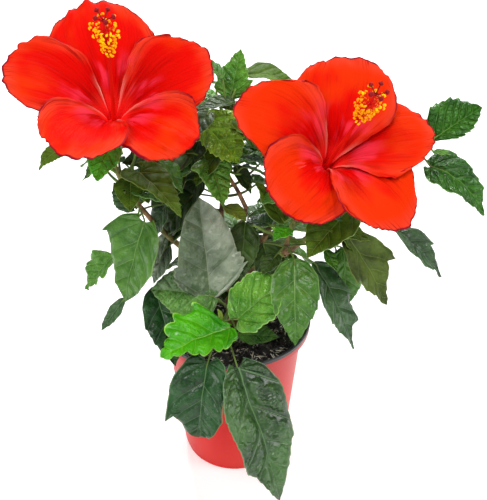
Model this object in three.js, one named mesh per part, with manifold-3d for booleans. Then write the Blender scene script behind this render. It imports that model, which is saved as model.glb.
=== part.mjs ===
// Potted hibiscus shrub with two open blooms, in millimetres, +Z up.
// The origin is the middle of the pot's flat underside. The front of the plant faces -Y.
import * as THREE from 'three';
import { mergeVertices } from 'three/addons/utils/BufferGeometryUtils.js';
import Module from 'manifold-3d';

const wasm = await Module();
wasm.setup();

const { degToRad, lerp } = THREE.MathUtils;

// Clear space between pieces that touch
const gap = 0.3;

// Pot: a thin wall under a deeper band at the rim, with a small step above its foot
const pot = {
  height: 140,
  rimRadius: 65,
  lipHeight: 8,
  lipFlare: 0.8,
  lipThickness: 1.8,
  wallTopRadius: 58.1,
  stepHeight: 6.5,
  stepRadius: 46.8,
  footRadius: 45.3,
  wall: 1.8,
  floor: 2.4,
  sides: 32,
};
const lipFoot = pot.height - pot.lipHeight;
const soil = { top: 128, edgeDrop: 3, edgeWidth: 7, sides: 30 };

// Trunk, from its flat cut on the soil to the fork
const trunk = {
  path: [[0, 8, soil.top + gap], [0, 8, 135], [-2, 7, 150], [-4, 6, 168]],
  radii: [9.5, 6.8, 6.2, 5.6],
  sides: 10,
};

// Boughs: each one tapering limb, from the trunk to the foot of its shoot
const boughSides = 6;
const boughs = {
  left_bough: { path: [[-3, 6, 160], [-22, 3, 190], [-46, 0, 213], [-64, -8, 240]], radii: [3.2, 2.1] },
  right_bough: { path: [[-2, 5, 158], [12, -4, 184], [25, -10, 202], [40, -14, 212]], radii: [3.4, 2.3] },
  centre_bough: { path: [[-4, 6, 164], [-9, 12, 198], [-10, 15, 230]], radii: [3.6, 2.2] },
  far_bough: { path: [[-1, 8, 154], [40, 16, 190], [85, 18, 228], [124, 12, 268]], radii: [2.8, 1.6] },
  back_left_bough: { path: [[-3, 8, 156], [-24, 34, 196], [-46, 58, 232]], radii: [3.2, 2] },
  back_right_bough: { path: [[-1, 9, 152], [24, 40, 190], [50, 66, 228]], radii: [3.2, 2] },
};

// Blooms: the point where the corolla leaves its calyx, the way it faces, and its turn
const blooms = {
  left_bloom: {
    base: [-82.5, -27, 330], heading: 290, rise: 62.5,
    petals: [28, 106, 179, 255, 325], lengths: [80, 83, 85, 83, 80],
    slopes: [15, 89], opening: 0.73, lean: [-9, 7],
  },
  right_bloom: {
    base: [65.5, -37, 299.5], heading: 288, rise: 52.5,
    petals: [14, 86, 164, 238, 311], lengths: [81, 82, 89, 83, 82],
    slopes: [10, 104], opening: 0.92, lean: [7, 9],
  },
};
const petal = {
  rootRadius: 4.5,
  thickness: 1.1,
  tilt: 4.5,
  rootTilt: 0.25,
  outline: [[0, 0.038], [0.15, 0.09], [0.35, 0.21], [0.55, 0.36], [0.75, 0.44], [0.9, 0.35], [1, 0.12]],
  across: 4,
};
const throat = { radius: 4.9, depth: 2, sides: 10 };
const column = {
  foot: 1.5 * gap, length: 87, footRadius: 1.9, tipRadius: 1.2, sides: 6, steps: 4, bend: 1.5,
};
const anthers = {
  count: 13, from: 0.68, to: 0.94, rise: 30, reach: [6, 10], radius: 0.5, headRadius: 1.6,
};
const styles = { count: 5, from: 0.98, rise: 42, reach: 9, radius: 0.5, headRadius: 1.8 };
const calyx = {
  depth: 13,
  shoulder: 10,
  shoulderRadius: 6.2,
  belly: 2,
  bellyRadius: 7.2,
  mouth: 3,
  mouthRadius: 9.6,
  teeth: 5,
  tooth: 6,
  flare: 0.6,
  wall: 1,
  pedicel: 14,
  pedicelRadius: 1.9,
};

// Leaf outlines: how far along the blade, and the half width there, as shares of its length
const outlines = {
  toothed: [[0.05, 0.17], [0.2, 0.31], [0.4, 0.33], [0.6, 0.27], [0.65, 0.2], [0.86, 0.1]],
  lobed: [[0.06, 0.16], [0.25, 0.3], [0.48, 0.42], [0.56, 0.26], [0.7, 0.2], [0.86, 0.08]],
  shouldered: [[0.04, 0.2], [0.12, 0.36], [0.3, 0.31], [0.55, 0.25], [0.8, 0.13]],
  broad: [[0.05, 0.22], [0.24, 0.4], [0.5, 0.43], [0.8, 0.24]],
  slim: [[0.08, 0.12], [0.35, 0.2], [0.65, 0.15], [0.86, 0.07]],
  plain: [[0.06, 0.18], [0.28, 0.32], [0.55, 0.26], [0.82, 0.12]],
};
const blade = { share: 0.018, least: 1.1, fold: 0.22 };
const stalk = { radii: [1, 0.7], sides: 3, intoBlade: 4, arch: 0.06 };
const stem = { sides: 5, steps: 4 };

// Twigs that grow by rule, and what the rule draws for each of their leaves, from least to most
const twig = {
  radii: [1.5, 0.9], sides: 3, steps: 2, leaves: 3, firstRoot: 0.12,
  rise: [0, 70], bend: 20, span: [0.7, 1.1],
};
const ruled = {
  turn: [45, 85], sway: [-15, 15], size: [0.7, 1.1], stalkShare: 0.3, stalkRise: [10, 45],
  pitch: [-45, 5], width: [0.9, 1.2], droop: [10, 35], roll: [-20, 20],
};
// Clear space that a leaf grown by rule keeps around itself, and around each petal's middle
const elbowRoom = 13;
const petalRoom = { along: 0.55, radius: 26 };
const goldenShare = 0.618;
const goldenTurn = 137.5;

// Shoots: each a mass of leaves that keeps to its own space, a ball of a given centre and radius.
// A stalk is [heading, rise, reach] from the stem, and a blade is [heading, pitch, length] from the
// stalk's end. A heading of 0 is +X and 90 is +Y, in degrees. A stem that carries a bloom ends at it.
const shoots = {
  front_shoot: {
    stem: [[-2, 4, 150], [-5, -18, 157], [-9, -42, 163]],
    radii: [2.3, 1.4],
    leaves: [
      { at: 0.3, stalk: [252, 42, 41], blade: [112, 76, 87], kind: 'toothed' },
      {
        at: 0.4, stalk: [245, 50, 42], blade: [193, 22, 50],
        kind: 'broad', droop: 10, roll: 50, width: 0.75,
      },
      {
        at: 1, stalk: [290, 30, 21], blade: [215, 10, 61],
        kind: 'broad', droop: 20, roll: 15, width: 0.85,
      },
      {
        at: 0.9, stalk: [295, 30, 20], blade: [10, 45, 53],
        kind: 'broad', droop: 10, roll: -25, width: 0.95,
      },
      { at: 0.7, stalk: [255, -7, 51], blade: [252, -50, 64], kind: 'broad', droop: 40, width: 0.95 },
      { at: 1, stalk: [289, -20, 40], blade: [310, -56, 117], kind: 'toothed', droop: 15, width: 0.72 },
      { at: 0.2, stalk: [208, 32, 78], blade: [298, -50, 64], kind: 'toothed', droop: 15, width: 0.8 },
      { at: 0.5, stalk: [310, -50, 20], blade: [350, 8, 32], kind: 'slim' },
      { at: 0.95, stalk: [250, 55, 5], blade: [160, 75, 12], kind: 'slim', width: 1.6 },
    ],
  },
  left_shoot: {
    stem: [[-64, -8, 240], [-80, -12, 268], [-87, -14, 290]],
    bloom: 'left_bloom',
    radii: [2.2, 2],
    leaves: [
      { at: 0.5, stalk: [304, 28, 29], blade: [320, -15, 55], kind: 'shouldered', droop: 20 },
      { at: 0.2, stalk: [290, -7, 26], blade: [229, -59, 62], kind: 'shouldered', droop: 15, width: 1.3 },
      { at: 0.15, stalk: [254, -54, 71], blade: [185, -56, 37], kind: 'slim', roll: 60 },
      { at: 0.1, stalk: [196, -54, 44], blade: [202, -38, 35], kind: 'lobed', droop: 20 },
      { at: 0.8, stalk: [262, 41, 36], blade: [248, -23, 28], kind: 'broad', droop: 20 },
      { at: 0.9, stalk: [188, 10, 29], blade: [200, 20, 30], kind: 'lobed', droop: 30 },
      { at: 0.3, stalk: [73, -68, 18], blade: [152, 46, 25], kind: 'broad', roll: 60 },
    ],
    twigs: { count: 3, facing: 120, spread: 70, reach: 42, length: 42 },
    space: { centre: [-95, 5, 262], radius: 68 },
  },
  centre_shoot: {
    stem: [[-10, 15, 230], [-8, 25, 275], [-4, 35, 315]],
    radii: [2.2, 1.1],
    leaves: [
      { at: 0.1, stalk: [287, 20, 14], blade: [328, -10, 20], kind: 'broad', droop: 20 },
      { at: 0.08, stalk: [315, -8, 27], blade: [263, -45, 46], kind: 'toothed', droop: 10, width: 0.85 },
      {
        at: 0.4, stalk: [212, 40, 35], blade: [193, 5, 54],
        kind: 'toothed', droop: 15, roll: 40, width: 0.9,
      },
      { at: 0.05, stalk: [189, -22, 47], blade: [215, -50, 33], kind: 'slim', droop: 15, width: 1.3 },
      { at: 0.3, stalk: [203, 28, 36], blade: [200, -40, 44], kind: 'toothed', droop: 25, roll: 15 },
      { at: 0.15, stalk: [200, 19, 25], blade: [205, -38, 42], kind: 'toothed', droop: 25, roll: 15 },
      { at: 0.5, stalk: [237, 20, 21], blade: [296, -31, 38], kind: 'shouldered', droop: 30, width: 1.2 },
      {
        at: 0.8, stalk: [205, 17, 33], blade: [327, -14, 51],
        kind: 'broad', droop: 20, roll: -30, width: 1.2,
      },
      { at: 0.8, stalk: [78, 49, 27], blade: [66, 58, 37], kind: 'broad', width: 1.2 },
      { at: 1, stalk: [67, 30, 34], blade: [355, 16, 45], kind: 'slim', droop: 50, width: 1.3 },
      { at: 0.9, stalk: [108, 66, 31], blade: [161, 44, 20], kind: 'broad', droop: 10 },
    ],
    twigs: { count: 4, facing: 60, spread: 90, reach: 40, length: 46 },
    space: { centre: [-5, 45, 285], radius: 74 },
  },
  right_shoot: {
    stem: [[40, -14, 212], [45, -12, 235], [51, -15, 256]],
    bloom: 'right_bloom',
    radii: [2.4, 2],
    leaves: [
      { at: 0.1, stalk: [280, 9, 27], blade: [271, -47, 65], kind: 'toothed', droop: 20, width: 0.88 },
      { at: 0.05, stalk: [318, 0, 30], blade: [324, -52, 76], kind: 'toothed', droop: 15, width: 0.65 },
      { at: 0.1, stalk: [5, -6, 46], blade: [289, -70, 52], kind: 'toothed', droop: 10 },
      { at: 0.15, stalk: [330, 5, 33], blade: [306, -40, 18], kind: 'lobed' },
      { at: 0.3, stalk: [347, 3, 43], blade: [324, -44, 64], kind: 'lobed', droop: 15, width: 1.15 },
      { at: 0.4, stalk: [8, -8, 84], blade: [338, -34, 55], kind: 'lobed', droop: 15 },
      { at: 0.45, stalk: [355, 15, 44], blade: [222, -11, 47], kind: 'toothed', droop: 15 },
      { at: 0.5, stalk: [358, 8, 48], blade: [333, -20, 26], kind: 'toothed', droop: 10 },
      { at: 0.5, stalk: [182, -30, 10], blade: [145, 46, 38], kind: 'toothed' },
      { at: 0.4, stalk: [256, 0, 10], blade: [230, 11, 22], kind: 'broad', droop: 20 },
      { at: 0.1, stalk: [234, -6, 14], blade: [234, -17, 20], kind: 'broad', droop: 10 },
      { at: 0.08, stalk: [170, 5, 18], blade: [300, -60, 42], kind: 'toothed', droop: 15 },
    ],
    twigs: { count: 2, facing: 50, spread: 50, reach: 38, length: 46 },
    space: { centre: [75, 15, 235], radius: 66 },
  },
  far_shoot: {
    stem: [[124, 12, 268], [140, 10, 285], [150, 10, 295]],
    radii: [1.7, 1],
    leaves: [
      { at: 1, stalk: [56, 33, 6], blade: [18, 33, 43], kind: 'broad', droop: 10, roll: -35, width: 1.1 },
      { at: 0.6, stalk: [336, -40, 13], blade: [335, -14, 59], kind: 'shouldered', droop: 40, roll: -20 },
      { at: 0.9, stalk: [300, -8, 7], blade: [332, 4, 12], kind: 'broad' },
    ],
  },
  back_left_shoot: {
    stem: [[-46, 58, 232], [-58, 72, 258], [-62, 84, 286]],
    radii: [2.1, 1.1],
    leaves: [],
    twigs: { count: 7, facing: 120, spread: 130, reach: 44, length: 52 },
    space: { centre: [-62, 68, 250], radius: 84 },
  },
  back_right_shoot: {
    stem: [[50, 66, 228], [64, 80, 256], [70, 88, 284]],
    radii: [2.1, 1.1],
    leaves: [],
    twigs: { count: 7, facing: 60, spread: 130, reach: 44, length: 52 },
    space: { centre: [68, 70, 248], radius: 84 },
  },
  back_low_shoot: {
    stem: [[-2, 12, 146], [2, 34, 158], [4, 54, 172]],
    radii: [2.4, 1.3],
    leaves: [],
    twigs: { count: 5, facing: 90, spread: 110, reach: 40, length: 56 },
    space: { centre: [4, 66, 180], radius: 78 },
  },
};

const looks = {
  potPlastic: { color: 0xc8372f, roughness: 0.42, metalness: 0 },
  soil: { color: 0x17120f, roughness: 0.95, metalness: 0 },
  bark: { color: 0x5b4a32, roughness: 0.85, metalness: 0 },
  leaf: { color: 0x3f7a36, roughness: 0.4, metalness: 0 },
  petal: { color: 0xf0320c, roughness: 0.55, metalness: 0 },
  pollen: { color: 0xf4b41e, roughness: 0.7, metalness: 0 },
  calyx: { color: 0x6b8f3a, roughness: 0.6, metalness: 0 },
};

const vector = ([x, y, z]) => new THREE.Vector3(x, y, z);

// The way that a heading and a rise above the level point
function aim(heading, rise) {
  const level = Math.cos(degToRad(rise));
  const turn = degToRad(heading);
  return new THREE.Vector3(Math.cos(turn) * level, Math.sin(turn) * level, Math.sin(degToRad(rise)));
}

const between = (random, [least, most]) => lerp(least, most, random());

// The same numbers in the same order on every run
function seeded(seed) {
  let state = seed;
  return () => {
    state = (state * 1664525 + 1013904223) % 4294967296;
    return state / 4294967296;
  };
}

// A solid from points and triangles, turned so that its faces point out
function solidFrom(points, triangles) {
  const solid = triangles.filter(([a, b, c]) => a !== b && b !== c && c !== a);
  const cross = new THREE.Vector3();
  const volume = solid.reduce((sum, [a, b, c]) => (
    sum + cross.crossVectors(points[b], points[c]).dot(points[a])), 0);
  const faces = volume < 0 ? solid.map(([a, b, c]) => [a, c, b]) : solid;
  return new wasm.Manifold(new wasm.Mesh({
    numProp: 3,
    vertProperties: new Float32Array(points.flatMap((point) => point.toArray())),
    triVerts: new Uint32Array(faces.flat()),
  }));
}

// A solid over a stack of rings of points. An end of one point is a tip, and any other is a lid.
function loft(rings) {
  const triangles = [];
  const starts = [];
  let count = 0;
  for (const ring of rings) {
    starts.push(count);
    count += ring.length;
  }
  for (let row = 0; row + 1 < rings.length; row++) {
    const sides = Math.max(rings[row].length, rings[row + 1].length);
    const low = (side) => starts[row] + side % rings[row].length;
    const high = (side) => starts[row + 1] + side % rings[row + 1].length;
    for (let side = 0; side < sides; side++) {
      triangles.push([low(side), low(side + 1), high(side)]);
      triangles.push([low(side + 1), high(side + 1), high(side)]);
    }
  }
  for (const [end, flip] of [[0, true], [rings.length - 1, false]]) {
    let first = 0;
    let last = rings[end].length - 1;
    while (last - first > 1) {
      const lid = [[first, first + 1, last]];
      if (last - first > 2) lid.push([first + 1, last - 1, last]);
      for (const corners of lid) {
        const [a, b, c] = corners.map((corner) => starts[end] + corner);
        triangles.push(flip ? [a, c, b] : [a, b, c]);
      }
      first += 1;
      last -= 1;
    }
  }
  return solidFrom(rings.flat(), triangles);
}

// A round solid about +Z from an outline of [radius, height] that starts and ends on the axis
function turned(outline, sides) {
  const profile = outline.map(([radius, height]) => new THREE.Vector2(radius, height));
  const lathe = new THREE.LatheGeometry(profile, sides).rotateX(Math.PI / 2);
  lathe.deleteAttribute('normal');
  lathe.deleteAttribute('uv');
  const bare = mergeVertices(lathe, 1e-3);
  const { position } = bare.attributes;
  const points = Array.from({ length: position.count }, (_, i) => (
    new THREE.Vector3().fromBufferAttribute(position, i)));
  const corners = Array.from(bare.index.array);
  const triangles = Array.from({ length: corners.length / 3 }, (_, i) => corners.slice(3 * i, 3 * i + 3));
  return solidFrom(points, triangles);
}

// A tapering limb along a smooth path, cut flat at both ends. More grows it by that much all round.
function limb(path, radii, sides, more = 0, steps = 3 * (path.length - 1)) {
  const curve = new THREE.CatmullRomCurve3(path);
  const frames = curve.computeFrenetFrames(steps, false);
  const rings = [];
  for (let step = 0; step <= steps; step++) {
    const share = step / steps;
    const centre = curve.getPoint(share);
    if (step === 0) centre.addScaledVector(frames.tangents[0], -more);
    if (step === steps) centre.addScaledVector(frames.tangents[steps], more);
    const place = share * (radii.length - 1);
    const below = Math.min(Math.floor(place), radii.length - 2);
    const radius = lerp(radii[below], radii[below + 1], place - below) + more;
    rings.push(Array.from({ length: sides }, (_, side) => {
      const angle = 2 * Math.PI * side / sides;
      return centre.clone()
        .addScaledVector(frames.normals[step], radius * Math.cos(angle))
        .addScaledVector(frames.binormals[step], radius * Math.sin(angle));
    }));
  }
  return loft(rings);
}

const join = (solids) => solids.reduce((whole, solid) => whole.add(solid));

// The largest of the pieces that a cut leaves, so that no loose scrap stays
function largest(solid) {
  return solid.decompose().reduce((best, piece) => (piece.volume() > best.volume() ? piece : best));
}

// How far out the inside of the pot's wall is at a height
function insideWall(height) {
  const share = (height - pot.stepHeight) / (lipFoot - pot.stepHeight);
  return lerp(pot.stepRadius, pot.wallTopRadius, share) - pot.wall;
}

function potSolid() {
  const lipRadius = pot.rimRadius - pot.lipFlare;
  return turned([
    [0, 0],
    [pot.footRadius, 0],
    [pot.footRadius, pot.stepHeight],
    [pot.stepRadius, pot.stepHeight],
    [pot.wallTopRadius, lipFoot],
    [lipRadius, lipFoot],
    [pot.rimRadius, pot.height],
    [pot.rimRadius - pot.lipThickness, pot.height],
    [lipRadius - pot.lipThickness, lipFoot + pot.lipThickness],
    [insideWall(lipFoot), lipFoot],
    [insideWall(soil.top), soil.top],
    [pot.footRadius - pot.wall, pot.stepHeight],
    [pot.footRadius - pot.wall, pot.floor],
    [0, pot.floor],
  ], pot.sides);
}

function soilSolid() {
  const footRadius = pot.footRadius - pot.wall - 2 * gap;
  const edge = soil.top - soil.edgeDrop;
  const edgeRadius = insideWall(edge) - 2 * gap;
  return turned([
    [0, pot.floor + gap],
    [footRadius, pot.floor + gap],
    [footRadius, pot.stepHeight + gap],
    [edgeRadius, edge],
    [edgeRadius - soil.edgeWidth, soil.top],
    [0, soil.top],
  ], soil.sides);
}

// Room that leaves and twigs keep out of: the pot with its soil, grown by the gap
function potRoom() {
  return turned([
    [0, 0],
    [pot.rimRadius + gap, 0],
    [pot.rimRadius + gap, pot.height + gap],
    [pot.rimRadius - pot.lipThickness - gap, pot.height + gap],
    [insideWall(soil.top) - gap, soil.top + gap],
    [0, soil.top + gap],
  ], pot.sides);
}

// A leaf blade: an arched, folded lens over its outline, from its foot to its tip
function bladeSolid(leaf, more = 0) {
  const [heading, pitch, length] = leaf.blade;
  const { droop = 0, roll = 0, width = 1 } = leaf;
  const thickness = Math.max(blade.least, blade.share * length) / 2 + more;
  const point = leaf.foot.clone();
  const rings = [[point.clone().addScaledVector(aim(heading, pitch), -more)]];
  let done = 0;
  for (const [along, across] of [...outlines[leaf.kind], [1, 0]]) {
    point.addScaledVector(aim(heading, pitch - droop * (done + along) / 2), (along - done) * length);
    done = along;
    const ahead = aim(heading, pitch - droop * along);
    const level = aim(heading - 90, 0);
    const side = level.clone().applyAxisAngle(ahead, degToRad(-roll));
    const up = side.clone().cross(ahead);
    const reach = across * width * length + more;
    const edge = (hand) => point.clone()
      .addScaledVector(side, hand * reach)
      .addScaledVector(up, blade.fold * reach);
    rings.push(across === 0
      ? [point.clone().addScaledVector(ahead, more)]
      : [
        edge(1),
        point.clone().addScaledVector(up, thickness),
        edge(-1),
        point.clone().addScaledVector(up, -thickness),
      ]);
  }
  return loft(rings);
}

// The middle of a blade's rib and its tip
function bladeMarks(leaf) {
  const [heading, pitch, length] = leaf.blade;
  const { droop = 0 } = leaf;
  const middle = leaf.foot.clone().addScaledVector(aim(heading, pitch - droop / 4), length / 2);
  return [middle, middle.clone().addScaledVector(aim(heading, pitch - droop * 3 / 4), length / 2)];
}

// Sets a leaf's root on a curve and its foot at the end of its stalk
function seat(leaf, curve) {
  const root = curve.getPoint(leaf.at);
  const [heading, rise, reach] = leaf.stalk;
  return { ...leaf, root, foot: root.clone().addScaledVector(aim(heading, rise), reach) };
}

function leafSolids(leaf, more = 0) {
  const [, , reach] = leaf.stalk;
  const [heading, pitch] = leaf.blade;
  const arch = new THREE.Vector3(0, 0, stalk.arch * reach);
  const middle = leaf.root.clone().lerp(leaf.foot, 0.5).add(arch);
  const inside = leaf.foot.clone().addScaledVector(aim(heading, pitch), stalk.intoBlade);
  const path = [leaf.root, middle, leaf.foot, inside];
  return [
    limb(path, stalk.radii, stalk.sides, more, leaf.steps),
    bladeSolid(leaf, more),
  ];
}

// Room that is taken: balls around the petals and the leaves that are placed
const taken = [];
const clearOf = (point, room) => (
  taken.every(({ centre, radius }) => point.distanceTo(centre) > radius + room));

// Where a bloom's flower stalk begins
function pedicelFoot({ base, heading, rise }) {
  return vector(base).addScaledVector(aim(heading, rise), -calyx.depth - calyx.pedicel);
}

function stemPath(shoot) {
  const path = shoot.stem.map(vector);
  if (shoot.bloom) path.push(pedicelFoot(blooms[shoot.bloom]));
  return path;
}

// Twigs and leaves that a shoot grows by rule, within its space and clear of what is placed
function grow(shoot, random) {
  const curve = new THREE.CatmullRomCurve3(stemPath(shoot));
  const { count, facing, spread, reach, length } = shoot.twigs;
  const centre = vector(shoot.space.centre);
  const inSpace = (point) => point.distanceTo(centre) < shoot.space.radius;
  const twigs = [];
  for (let i = 0; i < count; i++) {
    const root = curve.getPoint(lerp(twig.firstRoot, 1, (i + 0.5) / count));
    const heading = facing + spread * (2 * ((i * goldenShare + 0.3) % 1) - 1);
    const rise = between(random, twig.rise);
    const span = reach * between(random, twig.span);
    const middle = root.clone().addScaledVector(aim(heading, rise), span / 2);
    const tip = middle.clone().addScaledVector(aim(heading, rise + twig.bend), span / 2);
    const along = new THREE.CatmullRomCurve3([root, middle, tip]);
    const leaves = [];
    for (let j = 0; j < twig.leaves; j++) {
      const last = j === twig.leaves - 1;
      const hand = j % 2 ? 1 : -1;
      const turn = heading + (last ? 0 : hand * between(random, ruled.turn)) + between(random, ruled.sway);
      const size = length * between(random, ruled.size);
      const leaf = seat({
        at: last ? 1 : (j + 1) / twig.leaves,
        stalk: [turn, between(random, ruled.stalkRise), size * ruled.stalkShare],
        blade: [turn, between(random, ruled.pitch), size],
        kind: 'plain',
        width: between(random, ruled.width),
        droop: between(random, ruled.droop),
        roll: between(random, ruled.roll),
        steps: 2,
      }, along);
      const marks = bladeMarks(leaf);
      if (marks.every(inSpace) && marks.every((mark) => clearOf(mark, elbowRoom))) {
        leaves.push(leaf);
        for (const mark of marks) taken.push({ centre: mark, radius: 0 });
      }
    }
    if (leaves.length) twigs.push({ path: [root, middle, tip], leaves });
  }
  return twigs;
}

// A shoot's stem, twigs and leaves, joined
function shootSolids(shoot, more = 0) {
  const solids = [limb(stemPath(shoot), shoot.radii, stem.sides, more, stem.steps)];
  for (const leaf of shoot.placed) solids.push(...leafSolids(leaf, more));
  for (const { path, leaves } of shoot.grown) {
    solids.push(limb(path, twig.radii, twig.sides, more, twig.steps));
    for (const leaf of leaves) solids.push(...leafSolids(leaf, more));
  }
  return solids;
}

// A petal's rib: how far it stands out from the bloom's axis and up it, and its slope there
function petalRib({ slopes: [rootSlope, tipSlope], opening }, length) {
  const fine = 40;
  let radius = petal.rootRadius;
  let height = 0;
  const rib = [{ radius, height, slope: rootSlope }];
  for (let i = 1; i <= fine; i++) {
    const slope = lerp(rootSlope, tipSlope, ((i - 0.5) / fine) ** opening);
    radius += Math.sin(degToRad(slope)) * length / fine;
    height += Math.cos(degToRad(slope)) * length / fine;
    rib.push({ radius, height, slope });
  }
  return (along) => rib[Math.round(along * fine)];
}

// One petal about +Z: a thin shell, wrapped round the axis and tilted over its neighbour
function petalSolid(bloom, index, more = 0) {
  const half = petal.thickness / 2 + more;
  const length = bloom.lengths[index];
  const turn = degToRad(bloom.petals[index]);
  const rib = petalRib(bloom, length);
  const rings = petal.outline.map(([along, across]) => {
    const { radius, height, slope } = rib(along);
    const spread = (across * length + more) / radius;
    const row = (layer) => Array.from({ length: petal.across + 1 }, (_, i) => {
      const share = layer * (2 * i / petal.across - 1);
      const lift = share * petal.tilt * lerp(petal.rootTilt, 1, along) + layer * half;
      const out = radius - lift * Math.cos(degToRad(slope));
      const angle = turn + share * spread;
      return new THREE.Vector3(
        out * Math.cos(angle),
        out * Math.sin(angle),
        height + lift * Math.sin(degToRad(slope)),
      );
    });
    return [...row(1), ...row(-1)];
  });
  return loft(rings);
}

function corollaSolid(bloom, more = 0) {
  const floor = turned([
    [0, -throat.depth - more],
    [throat.radius + more, -throat.depth - more],
    [throat.radius + more, more],
    [0, more],
  ], throat.sides);
  return join([floor, ...bloom.petals.map((_, index) => petalSolid(bloom, index, more))]);
}

// A thread that ends in a small head
function headedThread(root, way, reach, { radius, headRadius }) {
  const path = [0, 0.75, 0.9, 1.05].map((share) => root.clone().addScaledVector(way, share * reach));
  return limb(path, [radius, radius, headRadius, headRadius / 2], 3, 0, path.length - 1);
}

// The column with its anthers, and the styles with their heads at its top
function columnSolid(bloom) {
  const [leanX, leanY] = bloom.lean;
  const axis = Array.from({ length: column.steps + 1 }, (_, i) => {
    const share = i / column.steps;
    const lean = share ** column.bend;
    return new THREE.Vector3(leanX * lean, leanY * lean, lerp(column.foot, column.length, share));
  });
  const curve = new THREE.CatmullRomCurve3(axis);
  const solids = [limb(axis, [column.footRadius, column.tipRadius], column.sides, 0, column.steps)];
  for (let i = 0; i < anthers.count; i++) {
    const share = i / (anthers.count - 1);
    const root = curve.getPoint(lerp(anthers.from, anthers.to, share));
    const reach = lerp(...anthers.reach, share);
    solids.push(headedThread(root, aim(i * goldenTurn, anthers.rise), reach, anthers));
  }
  for (let i = 0; i < styles.count; i++) {
    const way = aim(i * 360 / styles.count, styles.rise);
    solids.push(headedThread(curve.getPoint(styles.from), way, styles.reach, styles));
  }
  return join(solids);
}

// The calyx: a five-toothed cup on its flower stalk
function calyxSolid(more = 0) {
  const sides = 3 * calyx.teeth;
  const foot = -calyx.depth - calyx.pedicel;
  const ring = (radius, height) => Array.from({ length: sides }, (_, side) => {
    const angle = 2 * Math.PI * side / sides;
    const tooth = height === calyx.mouth ? calyx.tooth * (0.5 + 0.5 * Math.cos(calyx.teeth * angle)) : 0;
    const out = radius + calyx.flare * tooth;
    return new THREE.Vector3(out * Math.cos(angle), out * Math.sin(angle), height + tooth);
  });
  const inset = calyx.wall + more;
  return loft([
    ring(calyx.pedicelRadius + more, foot - more),
    ring(calyx.pedicelRadius + more, -calyx.depth),
    ring(calyx.shoulderRadius + more, -calyx.shoulder),
    ring(calyx.bellyRadius + more, -calyx.belly),
    ring(calyx.mouthRadius + more, calyx.mouth),
    ring(calyx.mouthRadius - inset, calyx.mouth),
    ring(calyx.bellyRadius - inset, -calyx.belly - gap),
  ]);
}

// One mesh from a solid
function piece(name, solid, look) {
  const { numProp, vertProperties, triVerts } = solid.getMesh();
  const geometry = new THREE.BufferGeometry();
  geometry.setAttribute('position', new THREE.BufferAttribute(new Float32Array(vertProperties), numProp));
  geometry.setIndex(new THREE.BufferAttribute(new Uint32Array(triVerts), 1));
  geometry.computeVertexNormals();
  const mesh = new THREE.Mesh(geometry, new THREE.MeshStandardMaterial(look));
  mesh.name = name;
  return mesh;
}

// The same solid, moved as its bloom's group moves it
function moved(solid, matrix) {
  const { vertProperties, triVerts } = solid.getMesh();
  const points = Array.from({ length: vertProperties.length / 3 }, (_, i) => (
    new THREE.Vector3().fromArray(vertProperties, 3 * i).applyMatrix4(matrix)));
  const triangles = Array.from({ length: triVerts.length / 3 }, (_, i) => (
    [...triVerts.slice(3 * i, 3 * i + 3)]));
  return solidFrom(points, triangles);
}

const plant = new THREE.Group();

// Solids that later pieces are cut clear of, each already grown by the gap
const kept = [];
function clear(solid) {
  const cut = kept.reduce((rest, other) => rest.subtract(other), solid);
  return largest(cut);
}

plant.add(piece('pot', potSolid(), looks.potPlastic));
plant.add(piece('soil', soilSolid(), looks.soil));
kept.push(potRoom());

const trunkPath = trunk.path.map(vector);
plant.add(piece('trunk', limb(trunkPath, trunk.radii, trunk.sides), looks.bark));
kept.push(limb(trunkPath, trunk.radii, trunk.sides, gap));

for (const [name, { path, radii }] of Object.entries(boughs)) {
  const points = path.map(vector);
  plant.add(piece(name, clear(limb(points, radii, boughSides)), looks.bark));
  kept.push(limb(points, radii, boughSides, gap));
}

for (const [name, bloom] of Object.entries(blooms)) {
  const holder = new THREE.Group();
  holder.position.copy(vector(bloom.base));
  holder.quaternion.setFromUnitVectors(new THREE.Vector3(0, 0, 1), aim(bloom.heading, bloom.rise));
  holder.updateMatrixWorld(true);
  const corolla = corollaSolid(bloom);
  holder.add(piece(`${name}_corolla`, corolla, looks.petal));
  holder.add(piece(`${name}_column`, columnSolid(bloom), looks.pollen));
  holder.add(piece(`${name}_calyx`, calyxSolid(), looks.calyx));
  plant.add(holder);
  kept.push(moved(corollaSolid(bloom, gap), holder.matrixWorld));
  kept.push(moved(calyxSolid(gap), holder.matrixWorld));
  for (const [index, turn] of bloom.petals.entries()) {
    const { radius, height } = petalRib(bloom, bloom.lengths[index])(petalRoom.along);
    const centre = aim(turn, 0).multiplyScalar(radius).setZ(height);
    taken.push({ centre: centre.applyMatrix4(holder.matrixWorld), radius: petalRoom.radius });
  }
}

for (const shoot of Object.values(shoots)) {
  const curve = new THREE.CatmullRomCurve3(stemPath(shoot));
  shoot.placed = shoot.leaves.map((leaf) => ({ ...seat(leaf, curve), steps: 3 }));
  for (const leaf of shoot.placed) {
    for (const mark of bladeMarks(leaf)) taken.push({ centre: mark, radius: 0 });
  }
}
Object.values(shoots).forEach((shoot, i) => {
  shoot.grown = shoot.twigs ? grow(shoot, seeded(i + 1)) : [];
});
for (const [name, shoot] of Object.entries(shoots)) {
  plant.add(piece(name, clear(join(shootSolids(shoot))), looks.leaf));
  kept.push(join(shootSolids(shoot, gap)));
}

export default plant;
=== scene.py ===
# Potted hibiscus shrub with two open blooms. The tables below are in millimetres and degrees.
import math

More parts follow.
